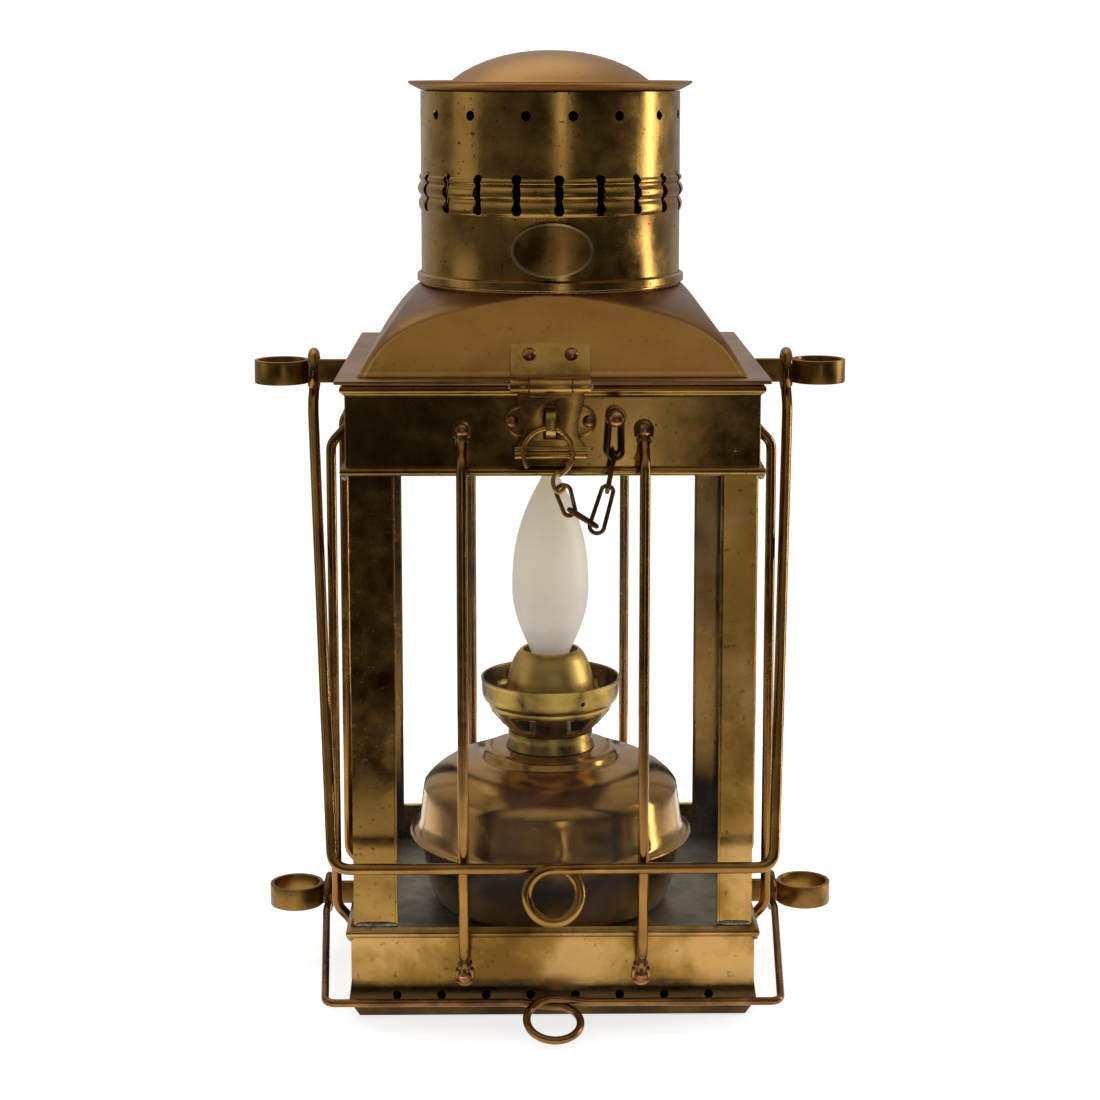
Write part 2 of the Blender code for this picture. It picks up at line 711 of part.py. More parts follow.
def make_front_hinge(lid, hasp):
    y = FRONT_BARREL_Y
    carry(register(roof_leaf("front_hinge_plate", -1), "front_hinge_plate", BRASS), lid)

    run = Vector((LEAF_TOP[0] - LEAF_FOOT[0], LEAF_TOP[1] - LEAF_FOOT[1]))
    seat = Vector(LEAF_FOOT) + run * 0.6 + Vector((run.y, -run.x)).normalized() * GAP
    lean = math.atan2(run.y, -run.x)
    for number, offset in ((1, -8.9), (2, 8.9)):
        name = "hinge_rivet_%d" % number
        head = rivet_head(name, HINGE_X + offset, seat.y, -seat.x, radius=2.9, rise=1.9)
        head.rotation_euler.x = lean
        carry(register(head, name, COPPER), lid)

    pin = cylinder("front_hinge_pin", (HINGE_X - HINGE_HALF - 0.8, y, BARREL_Z),
                   (HINGE_X + HINGE_HALF + 0.8, y, BARREL_Z), PIN_R, 12)
    carry(register(pin, "front_hinge_pin", STEEL), lid)

    tube = knuckle(HINGE_X - MID_KNUCKLE, HINGE_X + MID_KNUCKLE, y)
    inset = 0.08
    neck = box("neck", (HINGE_X - MID_KNUCKLE + inset, HASP_Y - HASP_THICK + inset, HASP_NECK_LOW),
               (HINGE_X + MID_KNUCKLE - inset, HASP_Y - inset, BARREL_Z - 0.6))
    right = [(HASP_TOP_HALF, HASP_SHOULDER), (HASP_WAIST_HALF + 0.4, 262), (HASP_WAIST_HALF, 258),
             (HASP_WAIST_HALF + 1.1, 253.5), (HASP_LOW_HALF, 250.5), (HASP_LOW_HALF, HASP_LOW)]
    outline = [(HINGE_X + x, z) for x, z in right]
    outline += [(HINGE_X - x, z) for x, z in reversed(right)]
    crown = arc((HINGE_X, HASP_SLOT_TOP), HASP_SLOT_HALF, 0, 180, 6)
    slot = crown + [(HINGE_X - HASP_SLOT_HALF, HASP_SLOT_LOW), (HINGE_X + HASP_SLOT_HALF, HASP_SLOT_LOW)]
    leaf = plate("hasp", [outline, slot[::-1]], HASP_THICK, (0, HASP_Y - HASP_THICK / 2, 0), upright=True)
    lip_y = HASP_Y - HASP_LIP_OUT
    lip = cylinder("lip", (HINGE_X - HASP_LOW_HALF, lip_y, HASP_LIP_Z),
                   (HINGE_X + HASP_LOW_HALF, lip_y, HASP_LIP_Z), HASP_LIP_R, 10)
    body = joined([leaf, neck, tube, lip])
    boolean(body, pin_bore(y), "DIFFERENCE")
    carry(register(body, "hasp", BRASS), hasp)


def make_rear_hinge(lid):
    y = REAR_BARREL_Y
    carry(register(roof_leaf("rear_hinge_upper_leaf", 1), "rear_hinge_upper_leaf", BRASS), lid)

    tube = knuckle(HINGE_X - MID_KNUCKLE, HINGE_X + MID_KNUCKLE, y)
    face = CASE_HALF + GAP
    left = HINGE_X - MID_KNUCKLE
    right = HINGE_X + MID_KNUCKLE
    bend = STRAP_REACH_LOW + STRAP_THICK
    strap = box("strap", (left, face, STRAP_LOW), (right, face + STRAP_THICK, bend))
    link = box("link", (left, face, STRAP_REACH_LOW), (right, BEAD_HALF + 0.8, bend))
    reach = box("reach", (left, BEAD_HALF + 0.35, STRAP_REACH_LOW), (right, y - 0.2, bend))
    riser = box("riser", (left, y - 1.5, STRAP_REACH_LOW), (right, y - 0.2, BARREL_Z - 1.8))
    lower = joined([strap, link, reach, riser, tube])
    boolean(lower, pin_bore(y), "DIFFERENCE")
    register(lower, "rear_hinge_lower_leaf", BRASS)

    pin = cylinder("rear_hinge_pin", (HINGE_X - HINGE_HALF - 0.8, y, BARREL_Z),
                   (HINGE_X + HINGE_HALF + 0.8, y, BARREL_Z), PIN_R, 12)
    register(pin, "rear_hinge_pin", STEEL)


def make_staple():
    face = -(CASE_HALF + GAP)
    right = (STAPLE_PLATE_HIGH_X - STAPLE_PLATE_HALF, STAPLE_PLATE_Z)
    left = (STAPLE_PLATE_LOW_X + STAPLE_PLATE_HALF, STAPLE_PLATE_Z)
    outline = arc(right, STAPLE_PLATE_HALF, -90, 90, 8) + arc(left, STAPLE_PLATE_HALF, 90, 270, 8)
    base = plate("staple_plate", [outline], STAPLE_PLATE_THICK, (0, face - STAPLE_PLATE_THICK / 2, 0),
                 upright=True)
    register(base, "staple_plate", BRASS)
    front = face - STAPLE_PLATE_THICK - GAP
    spots = (STAPLE_PLATE_LOW_X + 3.2, STAPLE_PLATE_HIGH_X - 3.4)
    for number, x in enumerate(spots, start=1):
        name = "staple_rivet_%d" % number
        head = rivet_head(name, x, STAPLE_PLATE_Z, front, radius=2.6, rise=1.6, steps=8)
        register(head, name, COPPER)

    nose = STAPLE_TIP + STAPLE_BEND
    small = STAPLE_BEND - STAPLE_STRAP
    upper = (nose, STAPLE_TOP - STAPLE_BEND)
    lower = (nose, STAPLE_LOW + STAPLE_BEND)
    outer = [(front, STAPLE_TOP)] + arc(upper, STAPLE_BEND, 90, 180, 5)
    outer += arc(lower, STAPLE_BEND, 180, 270, 5) + [(front, STAPLE_LOW)]
    inner = [(front, STAPLE_LOW + STAPLE_STRAP)] + arc(lower, small, 270, 180, 5)
    inner += arc(upper, small, 180, 90, 5) + [(front, STAPLE_TOP - STAPLE_STRAP)]
    staple = side_profile("staple", outer + inner, HINGE_X - STAPLE_HALF, HINGE_X + STAPLE_HALF)
    register(staple, "staple", BRIGHT_BRASS)


# ---------------------------------------------------------------- bails

def smooth_route(points, bend, count=3):
    """Corners of a route rounded off, each with a short curve."""
    route = [Vector(points[0])]
    for before, corner, after in zip(points, points[1:], points[2:]):
        corner = Vector(corner)
        back = (Vector(before) - corner).normalized() * bend
        ahead = (Vector(after) - corner).normalized() * bend
        for step in range(count + 1):
            share = step / count
            route.append(corner + back * (1 - share) ** 2 + ahead * share ** 2)
    route.append(Vector(points[-1]))
    return route


def eye_points(x, centre_z, radius, start, end):
    """A wire eye round a shank, in the YZ plane."""
    return [(x, y, z) for y, z in arc((0, centre_z), radius, start, end, 11)]


def bail(name, wire_r, eye_x, pivot_z, eye_r, bar, bar_half, loop_r, loop_lean, corner):
    """One bent wire: eye, arm, half the bar, a loop in the middle, and the same back."""
    bar_y, bar_z = bar
    lean = math.degrees(math.atan2(bar_z - pivot_z, bar_y))
    arm = Vector((0, bar_y, bar_z - pivot_z)).normalized()
    sweep = 320
    left_eye = eye_points(-eye_x, pivot_z, eye_r, lean + 20 + sweep, lean + 20)
    right_eye = eye_points(eye_x, pivot_z, eye_r, lean + 20, lean + 20 + sweep)
    root = arm * (eye_r + 9)
    left_root = Vector((-eye_x, root.y, pivot_z + root.z))
    right_root = Vector((eye_x, root.y, pivot_z + root.z))
    left_arm = smooth_route([left_eye[-1], left_root, (-bar_half, bar_y, bar_z), (-loop_r, bar_y, bar_z)],
                            corner)
    right_arm = smooth_route([(loop_r, bar_y, bar_z), (bar_half, bar_y, bar_z), right_root, right_eye[0]],
                             corner)
    down = Vector((0, math.sin(loop_lean), -math.cos(loop_lean)))
    across = Vector((0, math.cos(loop_lean), math.sin(loop_lean))) * (wire_r + 0.35)
    loop = []
    turns = 14
    for step in range(turns + 1):
        share = step / turns
        angle = math.radians(90 - 360 * share)
        spot = Vector((loop_r * math.cos(angle), bar_y, bar_z)) + down * loop_r * (1 - math.sin(angle))
        loop.append(spot + across * (1 - 2 * share))
    left = [Vector(p) for p in left_eye[:-1]] + left_arm[:-1]
    right = right_arm[1:] + [Vector(p) for p in right_eye[1:]]
    approach = Vector((-loop_r * 0.9, bar_y, bar_z)) + across * 0.5
    leave = Vector((loop_r * 0.9, bar_y, bar_z)) - across * 0.5
    return wire(name, left + [approach] + loop + [leave] + right, wire_r)


def make_bails(upper_pivot, lower_pivot):
    upper = bail("upper_bail", UPPER_WIRE, UPPER_EYE_X, UPPER_PIVOT_Z, UPPER_EYE_R,
                 (UPPER_BAR_Y, UPPER_BAR_Z), UPPER_BAR_HALF, UPPER_LOOP_R,
                 math.radians(UPPER_LOOP_LEAN), UPPER_CORNER)
    carry(register(upper, "upper_bail", BRASS), upper_pivot)
    lower = bail("lower_bail", LOWER_WIRE, LOWER_EYE_X, LOWER_PIVOT_Z, LOWER_EYE_R,
                 (LOWER_BAR_Y, LOWER_BAR_Z), LOWER_BAR_HALF, LOWER_LOOP_R,
                 math.radians(LOWER_LOOP_LEAN), LOWER_CORNER)
    carry(register(lower, "lower_bail", BRASS), lower_pivot)


# ---------------------------------------------------------------- lamp

def make_lamp():
    low = FLOOR_Z + 0.4
    wall = PAN_WALL
    pan_top = FONT_FLANGE_Z - 1.6
    pan = turned("font_pan", [
        (0, low + wall), (FONT_R - 9.9, low + wall), (FONT_R - 6.3, 28.6), (FONT_R - 3.4, 36.2),
        (FONT_R - 1.9, 46), (FONT_R - wall, pan_top), (FONT_R, pan_top), (FONT_R - 1.0, 46),
        (FONT_R - 2.5, 36), (FONT_R - 5.5, 28), (FONT_R - 9.5, low), (0, low)])
    register(pan, "font_pan", BRASS)

    seat = pan_top + GAP
    cover = turned("font_cover", [
        (COLLAR_R - 5, 96.4), (28.0, 96.2), (30.3, 95.0), (31.0, 92.6), (35.0, 91.6), (42.0, 90.6),
        (47.5, 88.2), (53.2, 84.0), (56.6, 81.4), (FONT_CREASE_R, FONT_CREASE_Z),
        (59.4, 72.0), (60.7, FONT_FLANGE_Z + 2.2), (62.0, FONT_FLANGE_Z + 1.1),
        (FONT_FLANGE_R, FONT_FLANGE_Z + 0.3), (FONT_FLANGE_R, FONT_FLANGE_Z - 0.6),
        (59.4, seat), (58.5, 72.0), (57.4, FONT_CREASE_Z - 0.3),
        (52.8, 83.1), (47.2, 87.3), (41.8, 89.7), (34.8, 90.7), (30.3, 91.7), (29.4, 94.4),
        (27.8, 95.3), (COLLAR_R - 5, 95.5)])
    register(cover, "font_cover", BRASS)

    collar = turned("font_collar", [
        (COLLAR_R - 0.6, 104.6), (COLLAR_R, 103.6), (COLLAR_R + 0.2, 97.6), (COLLAR_R + 0.9, COLLAR_LOW),
        (COLLAR_R - 1.4, COLLAR_LOW), (COLLAR_R - 1.4, 104.6)], steps=ROUND_SMALL + 2)
    register(collar, "font_collar", BRIGHT_BRASS)

    cage = turned("burner_cage", [
        (28.4, 117.4), (28.2, 115.6), (COLLAR_R + 0.2, 105.9), (COLLAR_R - 0.2, 104.9),
        (COLLAR_R - 1.6, 104.9), (COLLAR_R - 1.2, 106.4), (27.0, 116.2), (27.2, 117.4)],
        steps=ROUND_SMALL + 2)
    windows = []
    for number in range(CAGE_WINDOWS):
        window = box("window", (14, -5.2, 108.0), (34, 5.2, 113.8))
        window.rotation_euler.z = math.radians(360 / CAGE_WINDOWS * number)
        windows.append(as_mesh(window))
    for window in windows:
        boolean(cage, window, "DIFFERENCE")
    register(cage, "burner_cage", BRIGHT_BRASS)

    gallery = turned("gallery_ring", [
        (GALLERY_R, 129.2), (GALLERY_R - 0.7, 121.4), (GALLERY_R - 3.2, 117.7), (21.2, 117.7),
        (21.2, 118.7), (GALLERY_R - 3.8, 118.7), (GALLERY_R - 1.7, 121.8), (GALLERY_R - 1.0, 129.2)],
        steps=ROUND)
    register(gallery, "gallery_ring", BRIGHT_BRASS)

    dome = turned("burner_dome", [
        (BURNER_R - 7.4, 142.4), (BURNER_R - 4.6, 139.2), (BURNER_R - 2.0, 132.6), (BURNER_R - 0.3, 125.0),
        (BURNER_R + 0.2, 119.0), (BURNER_R - 0.8, 119.0), (BURNER_R - 1.3, 125.0),
        (BURNER_R - 3.0, 132.2), (BURNER_R - 5.5, 138.5), (BURNER_R - 8.2, 141.7)],
        steps=ROUND_SMALL + 2)
    register(dome, "burner_dome", BRIGHT_BRASS)

    socket = turned("lamp_socket", [
        (SOCKET_R, SOCKET_TOP), (SOCKET_R, COLLAR_LOW), (SOCKET_R - 1.2, COLLAR_LOW),
        (SOCKET_R - 1.2, SOCKET_TOP)], steps=ROUND_SMALL)
    register(socket, "lamp_socket", (0.7, 0.68, 0.6), metallic=0.0, roughness=0.5)

    base = turned("bulb_cap", [
        (0, 107.0), (3.6, 107.0), (6.8, 112.4), (6.8, 135.6), (7.6, 135.6), (7.6, 112.0),
        (4.0, 106.0), (0, 106.0)], steps=ROUND_SMALL - 4)
    register(base, "bulb_cap", (0.6, 0.58, 0.5))

    def glass_r(share):
        """Radius of the flame-shaped bulb from its neck (0) to its tip (1)."""
        if share < BULB_WIDEST:
            swell = math.sin(math.pi / 2 * (share / BULB_WIDEST) ** 0.92)
            return BULB_NECK_R + (BULB_R - BULB_NECK_R) * swell
        return BULB_R * math.cos(math.pi / 2 * ((share - BULB_WIDEST) / (1 - BULB_WIDEST)) ** 1.25)

    rows = 13
    shares = [1 - row / rows for row in range(rows + 1)]
    height = BULB_TIP - BULB_LOW
    outside = [(max(glass_r(share), 0.0), BULB_LOW + height * share) for share in shares]
    outside[0] = (0.0, BULB_TIP)
    inside = [(max(r - 0.8, 0.0), z) for r, z in outside[1:]][::-1]
    profile = outside + inside + [(0.0, BULB_TIP - 1.6)]
    bulb = turned("bulb_glass", profile, steps=ROUND_SMALL)
    register(bulb, "bulb_glass", (0.88, 0.85, 0.8), metallic=0.0, roughness=0.6, alpha=0.95)


# ---------------------------------------------------------------- key and chain

def chain_links():
    """Each link's top, end and whether its flat side faces the front, as (x, z).

    An edge-on link starts at the middle of the wide link's end bend, and a wide
    link's own bend is centred on the edge-on link's end.
    """
    links = []
    top = Vector(LINK_TOP)
    ends = [Vector(end) for end in LINK_ENDS]
    for number, end in enumerate(ends):
        wide = number % 2 == 0
        links.append((top, end, wide))
        if wide:
            top = end - (end - top).normalized() * (LINK_BIG - 0.2)
        elif number + 1 < len(ends):
            top = end - (ends[number + 1] - end).normalized() * LINK_SMALL_WIDE
    return links


def link_outline(top, low, wide):
    """A closed teardrop of wire from top to low, wide as seen from the front or edge-on."""
    start = Vector((top[0], 0, top[1]))
    end = Vector((low[0], 0, low[1]))
    along = (end - start).normalized()
    side = Vector((along.z, 0, -along.x)) if wide else Vector((0, 1, 0))
    big = LINK_BIG
    small = LINK_SMALL_WIDE if wide else LINK_SMALL_EDGE
    points = []
    for angle in range(-80, 81, 40):
        turn = math.radians(angle)
        points.append(end + side * big * math.sin(turn) + along * big * (math.cos(turn) - 1))
    for angle in range(-70, 71, 35):
        turn = math.radians(angle)
        points.append(start - side * small * math.sin(turn) - along * small * (math.cos(turn) - 1))
    return [point + Vector((0, CHAIN_Y, 0)) for point in points]


def make_key_and_chain(key_slide, link_pivots):
    ring = arc(KEY_CENTRE, KEY_R, 215, -70, 20) + list(KEY_TAIL)
    key = wire("key_ring", [(x, KEY_Y, z) for x, z in ring], KEY_WIRE)
    carry(register(key, "key_ring", BRASS), key_slide)

    neck = -CHAIN_Y - CASE_HALF - GAP + LINK_WIRE + GAP
    stud = turned("chain_rivet", [
        (0, neck + 1.9), (1.9, neck + 1.6), (3.0, neck + 0.5), (STUD_HEAD_R, neck), (STUD_NECK_R, neck),
        (STUD_NECK_R, 0), (0, 0)], steps=10)
    stud.location = Vector((CHAIN_STUD[0], -(CASE_HALF + GAP), CHAIN_STUD[1])) * MM
    stud.rotation_euler.x = math.radians(90)
    register(stud, "chain_rivet", COPPER)
    for number, (top, low, wide) in enumerate(chain_links(), start=1):
        link = wire("chain_link_%d" % number, link_outline(top, low, wide), LINK_WIRE, cyclic=True)
        carry(register(link, "chain_link_%d" % number, BRONZE), link_pivots[number - 1])


clear_scene()
PARTS = collection("ship_lantern")
CUTTERS = collection("cutters")

lid_pivot = pivot("lid_pivot", (HINGE_X, REAR_BARREL_Y, BARREL_Z))
hasp_pivot = pivot("hasp_pivot", (HINGE_X, FRONT_BARREL_Y, BARREL_Z), lid_pivot)
upper_bail_pivot = pivot("upper_bail_pivot", (0, 0, UPPER_PIVOT_Z))
lower_bail_pivot = pivot("lower_bail_pivot", (0, 0, LOWER_PIVOT_Z))
key_slide = pivot("key_slide", (KEY_CENTRE[0], KEY_Y, KEY_CENTRE[1]))
link_pivots = []
for number, (top, low, wide) in enumerate(chain_links(), start=1):
    holder = link_pivots[-1] if link_pivots else None
    x, z = top if holder else CHAIN_STUD
    link_pivots.append(pivot("link_pivot_%d" % number, (x, CHAIN_Y, z), holder))

make_case()
make_posts_and_panes()
make_guard_rods()
make_side_rings()
make_hood(lid_pivot)
make_chimney(lid_pivot)
make_front_hinge(lid_pivot, hasp_pivot)
make_rear_hinge(lid_pivot)
make_staple()
make_bails(upper_bail_pivot, lower_bail_pivot)
make_lamp()
make_key_and_chain(key_slide, link_pivots)
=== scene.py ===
import json
import math

import bmesh
import bpy
from mathutils import Matrix, Vector


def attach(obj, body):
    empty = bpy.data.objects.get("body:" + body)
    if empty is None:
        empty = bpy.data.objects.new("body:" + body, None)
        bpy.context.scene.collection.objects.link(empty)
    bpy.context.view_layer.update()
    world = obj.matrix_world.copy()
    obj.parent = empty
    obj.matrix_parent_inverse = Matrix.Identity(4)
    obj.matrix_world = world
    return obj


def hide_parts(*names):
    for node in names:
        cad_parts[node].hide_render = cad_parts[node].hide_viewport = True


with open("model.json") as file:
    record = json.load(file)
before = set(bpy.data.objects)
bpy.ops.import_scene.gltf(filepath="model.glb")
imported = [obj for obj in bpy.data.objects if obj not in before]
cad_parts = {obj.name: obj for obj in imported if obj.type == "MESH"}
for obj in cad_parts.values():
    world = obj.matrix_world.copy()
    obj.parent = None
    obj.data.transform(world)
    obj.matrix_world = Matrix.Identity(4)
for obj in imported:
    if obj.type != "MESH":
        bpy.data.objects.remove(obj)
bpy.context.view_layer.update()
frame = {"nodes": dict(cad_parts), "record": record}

# Looks for a square brass ship lantern.  Makers work in millimetres and a finished
# piece is in metres, in the part's own frame: +Z up, hasp side towards -Y.

MM = 0.001
FINE_REACH = 0.0005         # how close points of wires and cut shapes lie before they merge
AXLE = Vector((0, 0, 1))
WALL_FACE = 87.1            # the case's outer wall, which the fittings stand on
SHEET_IN, SHEET_OUT = 85.8, 86.8
POST_FACE = 85.5
POST_LEG = {(-1, -1): 19.0, (1, -1): 15.0, (-1, 1): 13.5, (1, 1): 13.5}     # by side and depth
CHIMNEY_R, CHIMNEY_LOW, CHIMNEY_TOP = 57.7, 311.3, 396.0
SLOTS, FIRST_SLOT = 20, 3           # the first slot's place in degrees round from the front
AIR_HOLE_TURNS = (-84, -60, -37, -11, 9, 30, 54, 76, 94, 112.5, 135, 157.5, 180, 202.5, 225, 247.5)
BADGE_Z, BADGE_WIDE, BADGE_HIGH, BADGE_BACK_R = 329.3, 17.8, 11.7, 58.25
BULB_LOW, BULB_TOP = 136.0, 229.0
BULB_RISE = BULB_TOP - BULB_LOW


# ---------------------------------------------------------------- makers

def set_out(name, data):
    """A new object in the scene."""
    item = bpy.data.objects.new(name, data)
    bpy.context.scene.collection.objects.link(item)
    return item


def as_mesh(bm, name):
    """Turn a bmesh into mesh data and let it go."""
    mesh = bpy.data.meshes.new(name)
    bm.to_mesh(mesh)
    bm.free()
    return mesh


def shape_of(item):
    """A bmesh of an object as its modifiers or its curve settings leave it."""
    bpy.context.view_layer.update()
    graph = bpy.context.evaluated_depsgraph_get()
    mesh = bpy.data.meshes.new_from_object(item.evaluated_get(graph))
    bm = bmesh.new()
    bm.from_mesh(mesh)
    bpy.data.meshes.remove(mesh)
    return bm


def place_piece(name, bm, body, slot, stands_for=(), look=None, sharp=35):
    """Turn a finished bmesh in millimetres into a piece that rides on a body.

    A piece wears its slot's own finish unless another look is named.
    """
    bmesh.ops.scale(bm, vec=(MM, MM, MM), verts=bm.verts)
    mesh = as_mesh(bm, name)
    mesh.materials.append(LOOKS[look or slot])
    mesh.shade_smooth()
    mesh.set_sharp_from_angle(angle=math.radians(sharp))
    item = set_out(name, mesh)
    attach(item, body)
    if stands_for:
        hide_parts(*stands_for)
    return item


def arc(centre, radius, start, end, count):
    """Points on an arc, angles in degrees, both ends included."""
    steps = [math.radians(start + (end - start) * at / count) for at in range(count + 1)]
    return [(centre[0] + radius * math.cos(a), centre[1] + radius * math.sin(a)) for a in steps]


def eased(points, bend, count=5, closed=False):
    """A route with its corners rounded; bend is the most taken from each side of a corner."""
    spots = [Vector(p) for p in points]
    total = len(spots)
    route = [] if closed else [spots[0]]
    for at in range(0 if closed else 1, total if closed else total - 1):
        before, corner, after = spots[at - 1], spots[at], spots[(at + 1) % total]
        back, ahead = before - corner, after - corner
        taken = min(bend, back.length * 0.45, ahead.length * 0.45)
        for step in range(count + 1):
            share = step / count
            route.append(corner + back.normalized() * taken * (1 - share) ** 2
                         + ahead.normalized() * taken * share ** 2)
    if not closed:
        route.append(spots[-1])
    return route


def eased_pairs(points, bend, count=3):
    """A closed outline of pairs with its corners rounded."""
    return [tuple(p) for p in eased(points, bend, count, True)]


def chain_of_edges(bm, points, closed):
    """A wire of edges through the points."""
    verts = [bm.verts.new(p) for p in points]
    edges = [bm.edges.new(pair) for pair in zip(verts, verts[1:])]
    if closed:
        edges.append(bm.edges.new((verts[-1], verts[0])))
    return verts, edges


def tidy(bm, reach=0.002):
    """Merge points that lie together and turn every face outwards."""
    bmesh.ops.remove_doubles(bm, verts=bm.verts, dist=reach)
    bmesh.ops.recalc_face_normals(bm, faces=bm.faces)
    return bm


def spun(profile, steps, closed=True):
    """Spin an (r, z) profile about Z.  A profile from axis to axis is left open."""
    bm = bmesh.new()
    verts, edges = chain_of_edges(bm, [(r, 0, z) for r, z in profile], closed)
    bmesh.ops.spin(bm, geom=verts + edges, cent=(0, 0, 0), axis=AXLE, angle=math.tau,
                   steps=steps, use_merge=True)
    return tidy(bm)


def squared(profile, corner):
    """A frame of square plan from a closed (half-width, z) profile."""
    bm = bmesh.new()
    verts, edges = chain_of_edges(bm, [(half, half, z) for half, z in profile], True)
    bmesh.ops.spin(bm, geom=verts + edges, cent=(0, 0, 0), axis=AXLE, angle=math.tau,
                   steps=4, use_merge=True)
    tidy(bm)
    arrises = [e for e in bm.edges
               if all(abs(abs(v.co.x) - abs(v.co.y)) < 0.01 for v in e.verts)
               and (e.verts[0].co.xy - e.verts[1].co.xy).length < 40]
    bmesh.ops.bevel(bm, geom=arrises, offset=corner, offset_type="OFFSET", affect="EDGES",
                    segments=3, profile=0.5, material=-1, clamp_overlap=True)
    return tidy(bm)


def soften(bm, offset, segments=2, angle=30):
    """Round every edge that turns by more than an angle."""
    edges = [e for e in bm.edges if len(e.link_faces) == 2
             and math.degrees(e.calc_face_angle(0)) > angle]
    bmesh.ops.bevel(bm, geom=edges, offset=offset, offset_type="OFFSET", affect="EDGES",
                    segments=segments, profile=0.5, material=-1, clamp_overlap=True)
    return bm


def block(low, high, edge):
    """A box between two corners, its edges rounded."""
    bm = bmesh.new()
    bmesh.ops.create_cube(bm, size=1.0)
    bmesh.ops.scale(bm, vec=Vector(high) - Vector(low), verts=bm.verts)
    bmesh.ops.translate(bm, vec=(Vector(high) + Vector(low)) / 2, verts=bm.verts)
    return soften(bm, edge)


def slab(outline, thickness, edge=0.25, holes=()):
    """A flat plate in the XY plane, from z 0 up, with any holes cut through."""
    bm = bmesh.new()
    verts, edges = chain_of_edges(bm, [(x, y, 0) for x, y in outline], True)
    for hole in holes:
        edges += chain_of_edges(bm, [(x, y, 0) for x, y in hole], True)[1]
    bmesh.ops.triangle_fill(bm, edges=edges, use_beauty=True)
    bmesh.ops.dissolve_limit(bm, angle_limit=0.01, verts=bm.verts, edges=bm.edges)
    grown = bmesh.ops.extrude_face_region(bm, geom=bm.faces[:])
    lifted = [g for g in grown["geom"] if isinstance(g, bmesh.types.BMVert)]
    bmesh.ops.translate(bm, vec=(0, 0, thickness), verts=lifted)
    bmesh.ops.recalc_face_normals(bm, faces=bm.faces)
    return soften(bm, edge, angle=50) if edge else bm


def facing_front(bm, y):
    """Stand a plate made by slab() up, its upper side at y and facing -Y."""
    turn = Matrix.Rotation(math.radians(90), 4, "X")
    top = max(v.co.z for v in bm.verts)
    bmesh.ops.transform(bm, matrix=Matrix.Translation((0, y + top, 0)) @ turn, verts=bm.verts)
    return bm


def rod(points, radius, closed=False, resolution=5):
    """A round wire through the points."""
    curve = bpy.data.curves.new("route", "CURVE")
    curve.dimensions = "3D"
    curve.bevel_depth = radius
    curve.bevel_resolution = resolution
    curve.use_fill_caps = True
    spline = curve.splines.new("POLY")
    spline.points.add(len(points) - 1)
    for target, point in zip(spline.points, points):
        target.co = (*point, 1.0)
    spline.use_cyclic_u = closed
    item = set_out("route", curve)
    bm = shape_of(item)
    bpy.data.objects.remove(item)
    bpy.data.curves.remove(curve)
    return tidy(bm, FINE_REACH)


def bar(start, end, radius, sides=32, edge=0.25):
    """A round bar between two points, its rims eased."""
    along = Vector(end) - Vector(start)
    turn = along.to_track_quat("Z", "Y").to_matrix().to_4x4()
    bm = bmesh.new()
    bmesh.ops.create_cone(bm, cap_ends=True, segments=sides, radius1=radius, radius2=radius,
                          depth=along.length,
                          matrix=Matrix.Translation((Vector(start) + Vector(end)) / 2) @ turn)
    return soften(bm, edge, angle=50) if edge else bm


def together(*parts):
    """Several bmeshes as one."""
    whole = parts[0]
    for part in parts[1:]:
        mesh = as_mesh(part, "part")
        whole.from_mesh(mesh)
        bpy.data.meshes.remove(mesh)
    return whole


def moved(bm, offset=(0, 0, 0), turn=0.0, axis="Z"):
    """Turn a bmesh about an axis through the origin, after a shift."""
    matrix = Matrix.Rotation(math.radians(turn), 4, axis) @ Matrix.Translation(offset)
    bmesh.ops.transform(bm, matrix=matrix, verts=bm.verts)
    return bm


def cut(bm, cutter):
    """Take a cutter away from a closed shape."""
    items = [set_out("cut", as_mesh(shape, "cut")) for shape in (bm, cutter)]
    step = items[0].modifiers.new("cut", "BOOLEAN")
    step.operation = "DIFFERENCE"
    step.solver = "EXACT"
    step.object = items[1]
    result = shape_of(items[0])
    for item in items:
        old = item.data
        bpy.data.objects.remove(item)
        bpy.data.meshes.remove(old)
    return tidy(result, FINE_REACH)


def dome_head(x, z, y, radius, rise):
    """A rivet head with its flat back at y and its dome towards -Y."""
    crown = [(radius * math.cos(a), rise * math.sin(a))
             for a in [math.radians(d) for d in (0, 12, 24, 36, 48, 60, 70, 80)]]
    profile = [(0, 0), (radius * 0.96, 0)] + crown + [(0, rise)]
    bm = spun(profile, steps=28, closed=False)
    return moved(moved(bm, turn=90, axis="X"), (x, y, z))


def blob(size, centre, seed):
    """A lump of run solder."""
    bm = bmesh.new()
    bmesh.ops.create_icosphere(bm, subdivisions=3, radius=1.0)
    for v in bm.verts:
        swell = (math.sin(v.co.x * 5.1 + seed) * math.cos(v.co.z * 4.3 + seed * 1.7)
                 + math.sin(v.co.y * 6.7 + seed * 2.3))
        v.co *= 1 + 0.09 * swell
    bmesh.ops.scale(bm, vec=size, verts=bm.verts)
    bmesh.ops.translate(bm, vec=centre, verts=bm.verts)
    return bm


# ---------------------------------------------------------------- finishes

def new_look(name):
    """A material with its tree, its shader and the position on the piece."""
    look = bpy.data.materials.new(name)
    look.use_nodes = True
    tree = look.node_tree
    shader = tree.nodes["Principled BSDF"]
    where = tree.nodes.new("ShaderNodeTexCoord").outputs["Object"]
    return look, tree, shader, where


